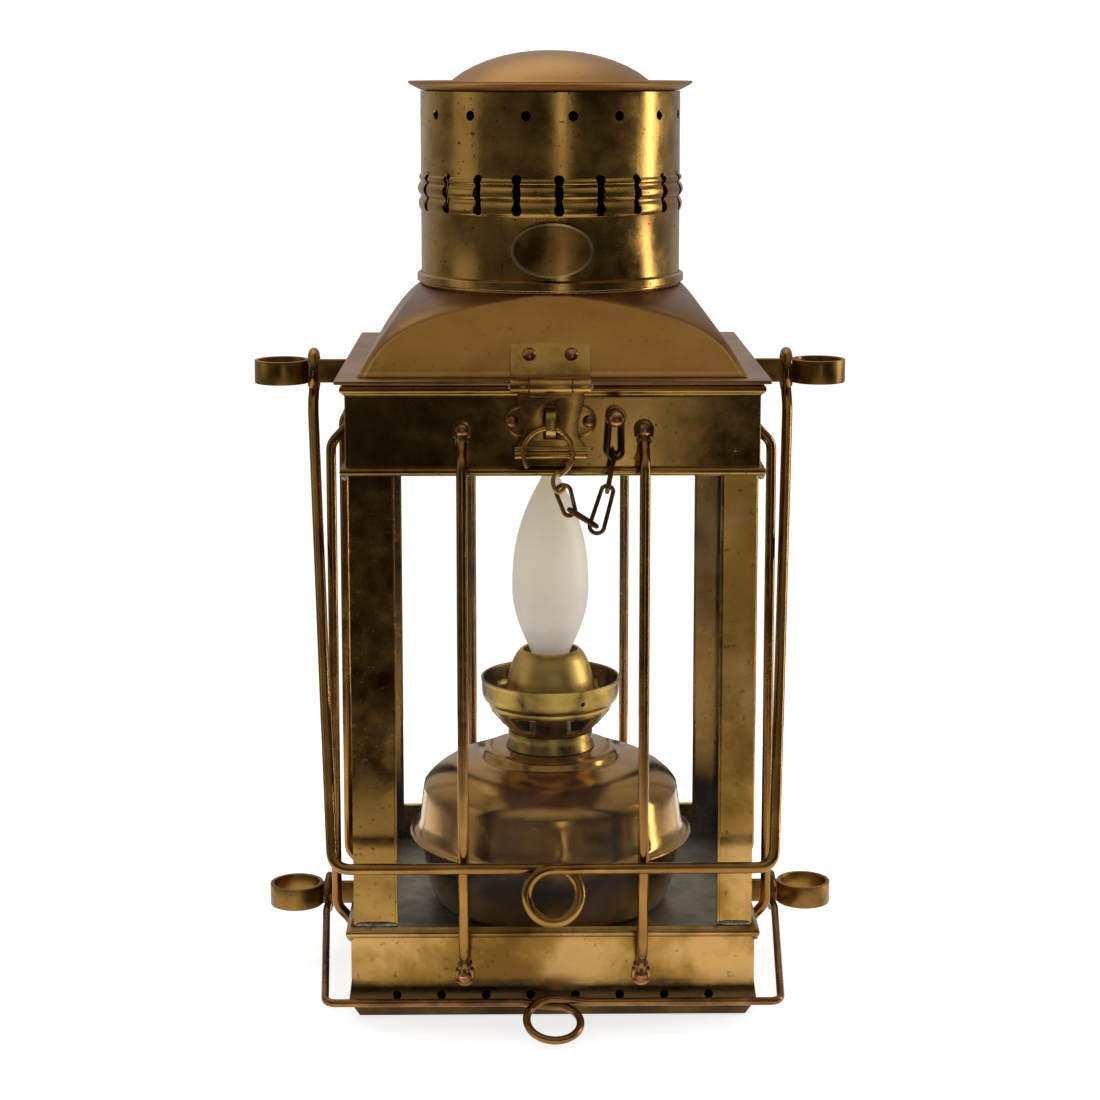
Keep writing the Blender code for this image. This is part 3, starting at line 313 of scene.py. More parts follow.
def noise(tree, where, scale, detail=3.0, rough=0.5, warp=0.0):
    """A cloudy pattern; scale counts its clouds in a metre."""
    made = tree.nodes.new("ShaderNodeTexNoise")
    made.inputs["Scale"].default_value = scale
    made.inputs["Detail"].default_value = detail
    made.inputs["Roughness"].default_value = rough
    made.inputs["Distortion"].default_value = warp
    tree.links.new(where, made.inputs["Vector"])
    return made.outputs["Fac"]


def ramp(tree, value, stops):
    """A colour for each value, from stops of (value, colour)."""
    made = tree.nodes.new("ShaderNodeValToRGB")
    band = made.color_ramp
    while len(band.elements) < len(stops):
        band.elements.new(0.5)
    for element, (at, colour) in zip(band.elements, stops):
        element.position = at
        element.color = (*colour, 1.0)
    tree.links.new(value, made.inputs["Fac"])
    return made.outputs["Color"]


def graded(tree, value, low, high, out_low, out_high):
    """A value taken from one range to another, and held at its ends."""
    made = tree.nodes.new("ShaderNodeMapRange")
    for key, number in (("From Min", low), ("From Max", high), ("To Min", out_low), ("To Max", out_high)):
        made.inputs[key].default_value = number
    tree.links.new(value, made.inputs["Value"])
    return made.outputs["Result"]


def blend(tree, share, first, second, mode="MIX"):
    """Two colours mixed by a share; each may be a colour or another node's output."""
    made = tree.nodes.new("ShaderNodeMix")
    made.data_type = "RGBA"
    made.blend_type = mode
    for socket, value in ((made.inputs[0], share), (made.inputs[6], first), (made.inputs[7], second)):
        if isinstance(value, tuple):
            socket.default_value = (*value, 1.0)
        elif isinstance(value, float):
            socket.default_value = value
        else:
            tree.links.new(value, socket)
    return made.outputs[2]


def sums(tree, operation, first, second):
    """Two values added or multiplied."""
    made = tree.nodes.new("ShaderNodeMath")
    made.operation = operation
    for socket, value in zip(made.inputs, (first, second)):
        if isinstance(value, (int, float)):
            socket.default_value = value
        else:
            tree.links.new(value, socket)
    return made.outputs[0]


def length_of(tree, vector):
    """How far a point is from the origin."""
    made = tree.nodes.new("ShaderNodeVectorMath")
    made.operation = "LENGTH"
    tree.links.new(vector, made.inputs[0])
    return made.outputs["Value"]


def axes_of(tree, vector):
    """The X, Y and Z of a point."""
    made = tree.nodes.new("ShaderNodeSeparateXYZ")
    tree.links.new(vector, made.inputs["Vector"])
    return made.outputs


def coated(tree, shader, colour, metallic, rough):
    """Give a finish its colour, its metal and its polish."""
    tree.links.new(colour, shader.inputs["Base Color"])
    shader.inputs["Metallic"].default_value = metallic
    tree.links.new(rough, shader.inputs["Roughness"])


def bumped(tree, shader, layers):
    """Stack bump layers of (height, strength, distance in metres)."""
    last = None
    for height, strength, distance in layers:
        made = tree.nodes.new("ShaderNodeBump")
        made.inputs["Strength"].default_value = strength
        made.inputs["Distance"].default_value = distance
        tree.links.new(height, made.inputs["Height"])
        if last:
            tree.links.new(last, made.inputs["Normal"])
        last = made.outputs["Normal"]
    tree.links.new(last, shader.inputs["Normal"])


GREEN_KEPT, BLUE_KEPT = 0.82, 0.5       # what tarnish leaves of a brass's paler tones


def aged_brass(name, light, middle, dark, rough, broad, fine, spots, dents, reach=0.14, extra=None):
    """Old brass: cloudy tarnish, small dark spots, uneven polish and a slightly wavy sheet.

    rough is the least and most roughness, broad and fine are the scales of the tarnish,
    spots and dents its strengths, and reach how soft its tones run together.
    """
    look, tree, shader, where = new_look(name)
    light, middle, dark = [(r, g * GREEN_KEPT, b * BLUE_KEPT) for r, g, b in (light, middle, dark)]
    wide = noise(tree, where, broad, 2.0, 0.5, 0.3)
    close = noise(tree, where, fine, 6.0, 0.6, 0.15)
    cloud = sums(tree, "ADD", sums(tree, "MULTIPLY", wide, 0.55), sums(tree, "MULTIPLY", close, 0.45))
    colour = ramp(tree, cloud, [(0.5 - reach, dark), (0.5, middle), (0.5 + reach, light)])
    speck = noise(tree, where, fine * 6.5, 2.0, 0.6)
    mask = graded(tree, speck, 0.64, 0.72, 0.0, spots)
    colour = blend(tree, mask, colour, tuple(c * 0.35 for c in dark))
    if extra:
        colour = extra(tree, where, colour)
    polish = graded(tree, close, 0.3, 0.7, rough[0], rough[1])
    polish = sums(tree, "ADD", polish, sums(tree, "MULTIPLY", mask, 0.25))
    coated(tree, shader, colour, 1.0, polish)
    sheet = noise(tree, where, 26.0, 1.0, 0.4)
    skin = noise(tree, where, 1400.0, 2.0, 0.5)
    bumped(tree, shader, [(sheet, dents, 0.0005), (close, 0.25, 0.00004), (skin, 0.2, 0.00002)])
    return look


def painted_crease_and_corner_light(tree, where, colour):
    """The hood's painted light: a painted highlight along its hip creases and painted shade on its rounded
    corners.
    """
    crease_glint = tree.nodes.new("ShaderNodeAttribute")
    crease_glint.attribute_name = "crease_highlight"
    corner = tree.nodes.new("ShaderNodeAttribute")
    corner.attribute_name = "rounded"
    patch = noise(tree, where, 45.0, 4.0, 0.6)
    shade = sums(tree, "MULTIPLY", corner.outputs["Fac"], graded(tree, patch, 0.3, 0.7, 0.45, 0.8))
    # Painted shade: the rounded corners darken towards the neck, where shade falls under the skirt.
    colour = blend(tree, shade, colour, (0.095, 0.048, 0.032))
    # Painted highlight: a bright line along the hip creases, strongest near the eave.
    line = sums(tree, "MULTIPLY", crease_glint.outputs["Fac"], graded(tree, patch, 0.35, 0.6, 0.5, 0.95))
    return blend(tree, line, colour, (0.80, 0.52, 0.20))


def darker_below_crease(tree, where, colour):
    """The base is darkest below its crease."""
    edge = sums(tree, "ADD", axes_of(tree, where)["Z"],
                graded(tree, noise(tree, where, 38.0, 3.0), 0.3, 0.7, -0.0025, 0.0025))
    low = graded(tree, edge, 0.0145, 0.0175, 0.92, 0.0)
    return blend(tree, low, colour, (0.05, 0.032, 0.012))


def painted_shade_inside(tree, where, colour):
    """The chimney's inner wall is painted near black: painted shade inside the tube."""
    flat = tree.nodes.new("ShaderNodeVectorMath")
    flat.operation = "MULTIPLY"
    flat.inputs[1].default_value = (1, 1, 0)
    tree.links.new(where, flat.inputs[0])
    away = length_of(tree, flat.outputs[0])
    # Painted shade: near black on the inner wall of the chimney.
    inside = graded(tree, away, (CHIMNEY_R - 0.75) * MM, (CHIMNEY_R - 0.35) * MM, 1.0, 0.0)
    return blend(tree, inside, colour, (0.012, 0.009, 0.006))


def painted_rim_highlight(tree, where, colour):
    """The badge's raised edge is painted lighter: a painted highlight on the rim."""
    shift = tree.nodes.new("ShaderNodeMapping")
    shift.vector_type = "POINT"
    shift.inputs["Location"].default_value = (0, 0, -BADGE_Z / BADGE_HIGH)
    shift.inputs["Scale"].default_value = (1 / (BADGE_WIDE * MM), 0, 1 / (BADGE_HIGH * MM))
    tree.links.new(where, shift.inputs["Vector"])
    # Painted highlight: a lighter ring along the badge's raised edge.
    rim = graded(tree, length_of(tree, shift.outputs["Vector"]), 0.9, 0.95, 0.0, 0.85)
    return blend(tree, rim, colour, (0.75, 0.55, 0.24))


def copper_look():
    """Copper rivet heads, worn bright in places."""
    look, tree, shader, where = new_look("copper")
    wear = noise(tree, where, 320.0, 4.0, 0.6)
    tone = ramp(tree, wear, [(0.35, (0.15, 0.05, 0.022)), (0.52, (0.40, 0.165, 0.07)),
                             (0.7, (0.60, 0.29, 0.14))])
    coated(tree, shader, tone, 1.0, graded(tree, wear, 0.3, 0.7, 0.42, 0.24))
    bumped(tree, shader, [(wear, 0.4, 0.0001)])
    return look


def solder_look():
    """Old solder, grey and lumpy."""
    look, tree, shader, where = new_look("old_solder")
    run = noise(tree, where, 240.0, 5.0, 0.6, 1.0)
    tone = ramp(tree, run, [(0.3, (0.10, 0.09, 0.06)), (0.5, (0.24, 0.225, 0.165)),
                            (0.68, (0.44, 0.43, 0.35))])
    coated(tree, shader, tone, 0.8, graded(tree, run, 0.3, 0.7, 0.55, 0.3))
    bumped(tree, shader, [(run, 0.7, 0.0003)])
    return look


def grey_sheet_look():
    """The dull, smeared sheet inside the case."""
    look, tree, shader, where = new_look("dull_sheet")
    smear = noise(tree, where, 24.0, 4.0, 0.6, 1.2)
    close = noise(tree, where, 160.0, 5.0, 0.6)
    tone = ramp(tree, smear, [(0.34, (0.16, 0.14, 0.085)), (0.5, (0.26, 0.23, 0.15)),
                              (0.66, (0.38, 0.34, 0.23))])
    tone = blend(tree, graded(tree, close, 0.55, 0.75, 0.0, 0.5), tone, (0.15, 0.11, 0.06))
    coated(tree, shader, tone, 0.85, graded(tree, close, 0.3, 0.7, 0.36, 0.6))
    bumped(tree, shader, [(smear, 0.4, 0.0006), (close, 0.4, 0.00006)])
    return look


def pane_look():
    """Nearly clear window glass with smudges and specks of dust."""
    look, tree, shader, where = new_look("window_glass")
    smudge = noise(tree, where, 22.0, 5.0, 0.65, 1.5)
    dust = noise(tree, where, 700.0, 2.0, 0.5)
    tone = ramp(tree, smudge, [(0.35, (0.62, 0.68, 0.66)), (0.65, (0.86, 0.88, 0.86))])
    coated(tree, shader, tone, 0.0, graded(tree, smudge, 0.4, 0.7, 0.03, 0.14))
    haze = sums(tree, "ADD", graded(tree, smudge, 0.45, 0.75, 0.006, 0.022),
                graded(tree, dust, 0.68, 0.74, 0.0, 0.05))
    tree.links.new(haze, shader.inputs["Alpha"])
    bumped(tree, shader, [(smudge, 0.1, 0.0004)])
    return look


def frosted_look():
    """Frosted glass, warm grey at the bulb's base and cream at its tip."""
    look, tree, shader, where = new_look("frosted_bulb")
    cloud = noise(tree, where, 60.0, 3.0, 0.5)
    height = graded(tree, axes_of(tree, where)["Z"], BULB_LOW * MM, BULB_TOP * MM, 0.0, 1.0)
    height = sums(tree, "ADD", height, graded(tree, cloud, 0.3, 0.7, -0.04, 0.04))
    tree.links.new(ramp(tree, height, [(0.02, (0.52, 0.48, 0.43)), (0.2, (0.78, 0.72, 0.64)),
                                       (0.5, (0.95, 0.90, 0.81)), (0.8, (0.92, 0.86, 0.72)),
                                       (1.0, (0.88, 0.80, 0.60))]), shader.inputs["Base Color"])
    shader.inputs["Roughness"].default_value = 0.5
    # Painted light: a faint glow stands in for light shining through the frosted glass from behind.
    shader.inputs["Emission Color"].default_value = (1.0, 0.93, 0.82, 1)
    shader.inputs["Emission Strength"].default_value = 0.12
    shader.inputs["Transmission Weight"].default_value = 0.5
    shader.inputs["Subsurface Weight"].default_value = 0.25
    shader.inputs["Subsurface Radius"].default_value = (0.006, 0.005, 0.004)
    frost = noise(tree, where, 2600.0, 2.0, 0.5)
    bumped(tree, shader, [(frost, 0.25, 0.00003)])
    return look


def plain_look(name, low, high, metallic, rough):
    """A lightly worn finish between two tones."""
    look, tree, shader, where = new_look(name)
    wear = noise(tree, where, 180.0, 4.0, 0.6)
    tone = ramp(tree, wear, [(0.35, low), (0.65, high)])
    coated(tree, shader, tone, metallic, graded(tree, wear, 0.3, 0.7, rough[0], rough[1]))
    bumped(tree, shader, [(wear, 0.3, 0.00008)])
    return look


BRASSES = {
    "mottled_brass": dict(light=(0.48, 0.34, 0.18), middle=(0.27, 0.18, 0.06), dark=(0.14, 0.085, 0.028),
                          rough=(0.14, 0.34), broad=16.0, fine=40.0, spots=0.4, dents=0.8, reach=0.085,
                          extra=darker_below_crease),
    "dark_brass": dict(light=(0.36, 0.25, 0.10), middle=(0.24, 0.16, 0.065), dark=(0.14, 0.092, 0.038),
                       rough=(0.12, 0.30), broad=14.0, fine=60.0, spots=0.5, dents=0.6),
    "wire_brass": dict(light=(0.48, 0.31, 0.13), middle=(0.28, 0.17, 0.07), dark=(0.16, 0.09, 0.04),
                       rough=(0.16, 0.3), broad=28.0, fine=90.0, spots=0.1, dents=0.1, reach=0.22),
    "bail_bronze": dict(light=(0.34, 0.20, 0.10), middle=(0.18, 0.10, 0.05), dark=(0.08, 0.045, 0.025),
                        rough=(0.18, 0.36), broad=28.0, fine=120.0, spots=0.4, dents=0.1),
    "ring_brass": dict(light=(0.42, 0.28, 0.11), middle=(0.27, 0.17, 0.07), dark=(0.13, 0.08, 0.035),
                       rough=(0.28, 0.48), broad=30.0, fine=110.0, spots=0.5, dents=0.1),
    "flange_brass": dict(light=(0.44, 0.28, 0.20), middle=(0.34, 0.21, 0.14), dark=(0.20, 0.12, 0.08),
                         rough=(0.3, 0.46), broad=20.0, fine=60.0, spots=0.3, dents=0.3),
    # The hood finish paints a highlight on its hip creases and shade on its rounded corners.
    "hood_brass": dict(light=(0.52, 0.32, 0.13), middle=(0.42, 0.25, 0.09), dark=(0.28, 0.16, 0.06),
                       rough=(0.3, 0.42), broad=12.0, fine=50.0, spots=0.25, dents=0.3,
                       extra=painted_crease_and_corner_light),
    "cap_brass": dict(light=(0.50, 0.33, 0.17), middle=(0.40, 0.25, 0.12), dark=(0.28, 0.17, 0.08),
                      rough=(0.34, 0.46), broad=14.0, fine=60.0, spots=0.15, dents=0.15),
    # The chimney finish paints its inner wall near black as painted shade.
    "chimney_brass": dict(light=(0.66, 0.48, 0.19), middle=(0.46, 0.31, 0.12), dark=(0.17, 0.10, 0.045),
                          rough=(0.17, 0.34), broad=20.0, fine=64.0, spots=0.8, dents=0.6, reach=0.17,
                          extra=painted_shade_inside),
    # The badge finish paints a highlight on its raised rim.
    "badge_brass": dict(light=(0.52, 0.36, 0.15), middle=(0.36, 0.23, 0.09), dark=(0.17, 0.10, 0.045),
                        rough=(0.24, 0.4), broad=40.0, fine=90.0, spots=0.7, dents=0.2, extra=painted_rim_highlight),
    "hinge_brass": dict(light=(0.64, 0.44, 0.19), middle=(0.46, 0.30, 0.12), dark=(0.22, 0.14, 0.055),
                        rough=(0.22, 0.4), broad=40.0, fine=130.0, spots=0.4, dents=0.1),
    "font_brass": dict(light=(0.60, 0.42, 0.20), middle=(0.42, 0.28, 0.12), dark=(0.24, 0.15, 0.06),
                       rough=(0.14, 0.28), broad=18.0, fine=60.0, spots=0.15, dents=0.1, reach=0.24),
    "burner_brass": dict(light=(0.58, 0.48, 0.19), middle=(0.40, 0.32, 0.12), dark=(0.16, 0.12, 0.05),
                         rough=(0.24, 0.42), broad=40.0, fine=120.0, spots=0.4, dents=0.2),
    # Painted light: a much lighter copy of the burner brass, standing for light the dome would catch.
    "painted_light_dome_brass": dict(light=(0.95, 0.80, 0.36), middle=(0.80, 0.64, 0.28), dark=(0.45, 0.33, 0.14),
                       rough=(0.36, 0.52), broad=40.0, fine=120.0, spots=0.3, dents=0.2),
    "key_brass": dict(light=(0.70, 0.50, 0.24), middle=(0.48, 0.32, 0.14), dark=(0.20, 0.12, 0.05),
                      rough=(0.22, 0.4), broad=60.0, fine=200.0, spots=0.3, dents=0.05),
    "chain_bronze": dict(light=(0.30, 0.19, 0.10), middle=(0.16, 0.095, 0.05), dark=(0.06, 0.035, 0.02),
                         rough=(0.28, 0.5), broad=60.0, fine=220.0, spots=0.4, dents=0.05),
    # Painted shade: a near-black brass for the tray, which sits in shade inside the base.
    "painted_shade_tray_bronze": dict(light=(0.13, 0.09, 0.045), middle=(0.08, 0.052, 0.025), dark=(0.04, 0.026, 0.012),
                        rough=(0.28, 0.45), broad=24.0, fine=90.0, spots=0.3, dents=0.2),
}

LOOKS = {name: aged_brass(name, **tones) for name, tones in BRASSES.items()}
LOOKS["copper"] = copper_look()
LOOKS["solder"] = solder_look()
LOOKS["grey_sheet"] = grey_sheet_look()
LOOKS["pane_glass"] = pane_look()
LOOKS["frosted_glass"] = frosted_look()
LOOKS["pin_steel"] = plain_look("pin_steel", (0.2, 0.19, 0.17), (0.42, 0.4, 0.37), 1.0, (0.3, 0.5))
LOOKS["socket_plastic"] = plain_look("socket_plastic", (0.62, 0.58, 0.50), (0.78, 0.75, 0.68),
                                     0.0, (0.45, 0.6))
LOOKS["cap_metal"] = plain_look("cap_metal", (0.45, 0.42, 0.35), (0.68, 0.65, 0.56), 1.0, (0.25, 0.4))


# ---------------------------------------------------------------- case

def base_band():
    """The lower band with its bead, its flared foot and eight vent holes a side."""
    bead = arc((87.0, 38.3), 2.0, 90, -90, 10)
    profile = [(SHEET_IN, 40.3), (87.0, 41.0)] + bead[1:] + [
        (SHEET_OUT + 0.1, 35.4), (SHEET_OUT, 33.5), (SHEET_OUT, 16.6), (SHEET_OUT + 0.15, 15.4),
        (88.0, 7.3), (86.9, 7.3), (85.85, 15.4)]
    bm = squared(profile, corner=0.7)
    vents = []
    spacing, height, radius = 19.2, 10.6, 1.9
    for face_turn in range(4):
        for at in range(8):
            x = (at - 3.5) * spacing
            drill = bar((x, -94, height), (x, -80, height), radius, 20, 0)
            vents.append(moved(drill, turn=90 * face_turn))
    bm = cut(bm, together(*vents))
    place_piece("base_band_sheet", bm, "case", "mottled_brass", ["base_band"])


def upper_band():
    """The upper band with a bead at each edge, and the small pin at its right."""
    top = arc((87.1, 273.9), 1.85, 90, -90, 10)
    low = arc((87.3, 239.4), 1.85, 90, -90, 10)
    profile = [(SHEET_IN, 276.0)] + top
    profile += [(SHEET_OUT + 0.05, 271.3), (SHEET_OUT, 270), (SHEET_OUT, 242.6), (SHEET_OUT + 0.05, 241.6)]
    profile += low + [(SHEET_IN, 237.5)]
    bm = squared(profile, corner=0.8)
    place_piece("upper_band_sheet", bm, "case", "dark_brass", ["upper_band"])
    dot = dome_head(76.3, 248.3, -86.85, 0.9, 0.5)
    place_piece("band_pin", dot, "case", "copper")


def posts():
    """Four corner posts of folded sheet, their inner edges hemmed."""
    outer, thick, leg_side = POST_FACE, 1.0, 14.0
    for name, side, depth, slot in (
            ("front_left", -1, -1, "dark_brass"), ("front_right", 1, -1, "mottled_brass"),
            ("rear_left", -1, 1, "dark_brass"), ("rear_right", 1, 1, "dark_brass")):
        leg = POST_LEG[side, depth]
        hem = arc((outer - leg + 0.65, outer - 0.45), 0.65, 0, 270, 8)
        angle = [(outer, outer), (outer - leg + 1.3, outer)] + hem[1:] + [
            (outer - leg + 1.6, outer - thick), (outer - thick, outer - thick),
            (outer - thick, outer - leg_side), (outer, outer - leg_side)]
        bm = slab([(side * x, depth * y) for x, y in angle], 243.6, edge=0)
        moved(bm, (0, 0, 24.4))
        place_piece("post_" + name, bm, "case", slot, ["corner_post_" + name])


def guard_rods():
    """Two rods a side, each with flat riveted ends and a little solder."""
    wall = -WALL_FACE
    neck = wall - 2.25
    for face, turn, out in (
            ("front", 0, 98.0), ("right", 90, 96.4), ("rear", 180, 98.0), ("left", 270, 96.4)):
        for number, offset in ((1, -38.0), (2, 38.0)):
            route = [(0, neck + 0.9, 254.5), (0, neck + 0.2, 251.8), (0, neck - 2.2, 248.6),
                     (0, -out, 243.6), (0, -out, 33.6), (0, neck - 2.2, 28.2), (0, neck + 0.2, 24.8),
                     (0, neck + 0.9, 22.2)]
            wire = rod(eased(route, 5.0, 8), 2.25)
            tabs = []
            heads = []
            joints = []
            for z, down in ((257.0, 1), (19.3, -1)):
                half = 4.1
                shape = (arc((0, z + 0.3 * down), half, 0, 180 * down, 16)
                         + [(-half * 0.92, z - 3.2 * down), (half * 0.92, z - 3.2 * down)])
                tabs.append(facing_front(slab(shape if down > 0 else shape[::-1], 1.5, 0.35), wall - 1.5))
                heads.append(dome_head(0, z, wall - 1.5, 3.0, 2.4))
                joints.append(blob((2.9, 1.8, 2.1), (0, neck + 0.5, z - 4.6 * down), turn + z))
            where = dict(offset=(offset, 0, 0), turn=turn)
            name = "%s_%d" % (face, number)
            place_piece("rod_" + name, moved(together(wire, *tabs), **where), "case", "wire_brass",
                        ["guard_rod_" + name])
            place_piece("rod_rivets_" + name, moved(together(*heads), **where), "case", "copper")
            place_piece("rod_solder_" + name, moved(together(*joints), **where), "case", "wire_brass",
                        look="solder")


def side_rings():
    """A flat ring on a shank at the top and foot of each side."""
    for level, centre, low, top, root in (("upper", 121.0, 265.5, 276.0, 89.4),
                                          ("lower", 118.0, 21.0, 31.0, 87.1)):
        for side, sign in (("left", -1), ("right", 1)):
            spread = math.degrees(math.asin(1.8 / 12.3))
            outer = arc((centre, 0), 12.3, -180 + spread, 180 - spread, 60)
            hole = arc((centre, 0), 10.5, 0, 354, 59)
            outline = [(root, 1.8), (root, -1.8)] + outer
            bm = slab([(sign * x, y) for x, y in outline], top - low, 0.35,
                      [[(sign * x, y) for x, y in hole]])
            moved(bm, (0, 0, low))
            place_piece("guide_ring_%s_%s" % (level, side), bm, "case", "ring_brass",
                        ["%s_ring_%s" % (level, side)])


def solder_runs():
    """Solder at the feet and corners of the bands and under the side rings."""
    lumps = []
    for side in (-1, 1):
        for depth in (-1, 1):
            width = POST_LEG[side, depth]
            lumps.append(blob((width * 0.46, 0.75, 1.1),
                              (side * (POST_FACE - width * 0.5), depth * 85.9, 41.6), side + depth * 3))
            lumps.append(blob((1.6, 1.6, 2.6), (side * 87.2, depth * 87.2, 238.5), side * 2 + depth))
            lumps.append(blob((1.4, 1.4, 1.8), (side * 86.9, depth * 86.9, 273.5), side * 4 + depth))
            lumps.append(blob((1.5, 1.5, 2.2), (side * 87.0, depth * 87.0, 37.2), side + depth * 5))
    for side in (-1, 1):
        lumps.append(blob((2.6, 4.2, 6.0), (side * 88.3, 0, 26.0), side * 1.3))
        lumps.append(blob((2.2, 4.0, 4.6), (side * 89.3, 0, 270.5), side * 2.1))
    place_piece("corner_solder", together(*lumps), "case", "dark_brass", look="solder")


# ---------------------------------------------------------------- roof

HOOD_LOW, HOOD_TOP, HOOD_HALF, NECK_R = 278.3, 311.0, 81.85, 58.3
HOOD_CORNER, HOOD_BULGE = 2.5, 7.2      # the corner's radius at the eave, and how full the slopes are


def hood_loop(share, inset=0.0):
    """Points round the hood at a share of its height, each with its painted crease highlight and its
    rounded-corner amount.
    """
    lean = math.atan((HOOD_HALF - NECK_R) / (HOOD_TOP - HOOD_LOW))
    bulge = HOOD_BULGE * share * (1 - share) * math.cos(lean)
    half = HOOD_HALF + (NECK_R - HOOD_HALF) * share + bulge - inset
    corner = min(HOOD_CORNER + (NECK_R - HOOD_CORNER) * share ** 4 - inset, half - 0.2)
    shoulder = max(half - corner, 0.2)
    ease = min(1.1, shoulder * 0.5)
    points = []
    for quarter in range(4):
        turn = Matrix.Rotation(math.radians(90 * quarter), 3, "Z")
        side = [((half, 0.0), 0.0, 0.0), ((half, shoulder * 0.5), 0.0, 0.0),
                ((half, shoulder - ease), 0.0, 0.0)]
        for step in range(13):
            angle = math.radians(90 * step / 12)
            edge = 1.0 if step in (0, 12) else 0.0
            spot = (half - corner + corner * math.cos(angle), half - corner + corner * math.sin(angle))
            side.append((spot, edge, 1.0 if 0 < step < 12 else 0.45))
        side += [((shoulder - ease, half), 0.0, 0.0), ((shoulder * 0.5, half), 0.0, 0.0)]
        for (x, y), crease_glint, rounded in side:
            points.append((turn @ Vector((x, y, 0)), crease_glint, rounded))
    return points


def hood():
    """The roof sheet, square at the eave and round at the chimney, and the flat eave under it."""
    bm = bmesh.new()
    # Point weights for the hood's finish: a painted highlight on the hip creases and painted shade on the
    # rounded corners.
    crease_highlight = bm.verts.layers.float.new("crease_highlight")
    rounded = bm.verts.layers.float.new("rounded")
    edges = []
    rows = 28
    fold = [(0.0, 0.0), (0.035, -0.35), (0.05, 0.15)] + [(0.05 + 0.95 * (at / rows), 0.0)
                                                         for at in range(1, rows + 1)]
    for share, inset in fold:
        loop = hood_loop(share, inset)
        z = HOOD_LOW + (HOOD_TOP - HOOD_LOW) * share
        verts, ring = chain_of_edges(bm, [(p.x, p.y, z) for p, crease_glint, soft in loop], True)
        for vert, (p, crease_glint, soft) in zip(verts, loop):
            vert[crease_highlight] = crease_glint * max(0.0, 1.0 - 1.25 * share)
            vert[rounded] = soft * min(1.0, share * 2.5)
        edges.append(ring)
    for first, second in zip(edges, edges[1:]):
        bmesh.ops.bridge_loops(bm, edges=first + second)
    bmesh.ops.recalc_face_normals(bm, faces=bm.faces)
    bmesh.ops.solidify(bm, geom=bm.faces[:], thickness=1.0)
    place_piece("hood_sheet", bm, "lid", "hood_brass", ["roof_hood"], sharp=50)

    sheet = squared([(91.0, 278.0), (91.0, 276.4), (90.2, 276.3), (79.0, 276.3), (79.0, 278.0)],
                    corner=1.2)
    place_piece("eave_sheet", soften(sheet, 0.3, 2, 60), "lid", "flange_brass", ["roof_flange"])


def chimney():
    """The tube with its beads, slots and air holes, the roll at its foot and the cap."""
    radius = CHIMNEY_R
    profile = [(radius, CHIMNEY_TOP)]
    for low, top, rise in ((356.6, 359.6, 0.9), (350.1, 356.2, 1.5), (343.3, 349.5, 1.1)):
        for at in range(11):
            share = at / 10
            profile.append((radius + rise * math.sin(math.pi * share) ** 0.8, top + (low - top) * share))
    profile += [(radius, CHIMNEY_LOW), (radius - 1.0, CHIMNEY_LOW), (radius - 1.0, CHIMNEY_TOP)]
    bm = spun(profile, steps=120)
    cutters = []
    widths = [(343.9, 0.6), (344.3, 1.7), (345.6, 2.25), (347.2, 2.1), (349.2, 1.4), (350.4, 1.45),
              (352.0, 1.95), (353.4, 2.0), (355.0, 1.8), (356.6, 1.35), (358.0, 1.9), (359.6, 2.25),
              (360.7, 1.7), (361.2, 0.6)]
    outline = [(w, z) for z, w in widths] + [(-w, z) for z, w in reversed(widths)]
    for number in range(SLOTS):
        punch = facing_front(slab(outline, 9.0, 0), -radius - 4.5)
        cutters.append(moved(punch, turn=FIRST_SLOT + 360 / SLOTS * number))
    for turn in AIR_HOLE_TURNS:
        drill = bar((0, -radius - 4, 386.0), (0, -radius + 5, 386.0), 2.2, 20, 0)
        cutters.append(moved(drill, turn=turn))
    bm = cut(bm, together(*cutters))
    place_piece("chimney_tube", bm, "lid", "chimney_brass", ["chimney"])

    wall = radius + 0.3
    roll = [(wall, 316.3)] + arc((wall + 0.25, 313.9), 2.0, 80, -70, 14) + [(wall, 311.9)]
    roll = [(min(r, 59.6), max(z, 311.35)) for r, z in roll]
    place_piece("skirt_roll", spun(roll, 120), "lid", "chimney_brass", ["chimney_skirt"])

    dome = [(0, 413.9), (7.0, 413.7), (14.0, 412.9), (21.0, 411.5), (28.0, 409.4), (34.0, 406.9),
            (39.0, 404.2), (42.6, 401.6), (45.2, 399.5), (47.4, 398.4), (50.0, 398.0)]
    brim = [(56.5, 398.2), (60.0, 399.1), (62.3, 400.2), (62.9, 400.4), (63.2, 399.9), (62.9, 399.3),
            (60.6, 397.9), (57.5, 396.4), (49.0, 396.35)]
    under = [(46.0, 397.0), (43.4, 398.8), (40.6, 401.2), (37.0, 403.7), (32.0, 406.2), (26.0, 408.6),
             (19.0, 410.6), (12.0, 411.9), (6.0, 412.5), (0, 412.7)]
    bm = spun(dome + brim + under, 120, closed=False)
    place_piece("cap_spinning", bm, "lid", "hood_brass", ["cap"], look="cap_brass")


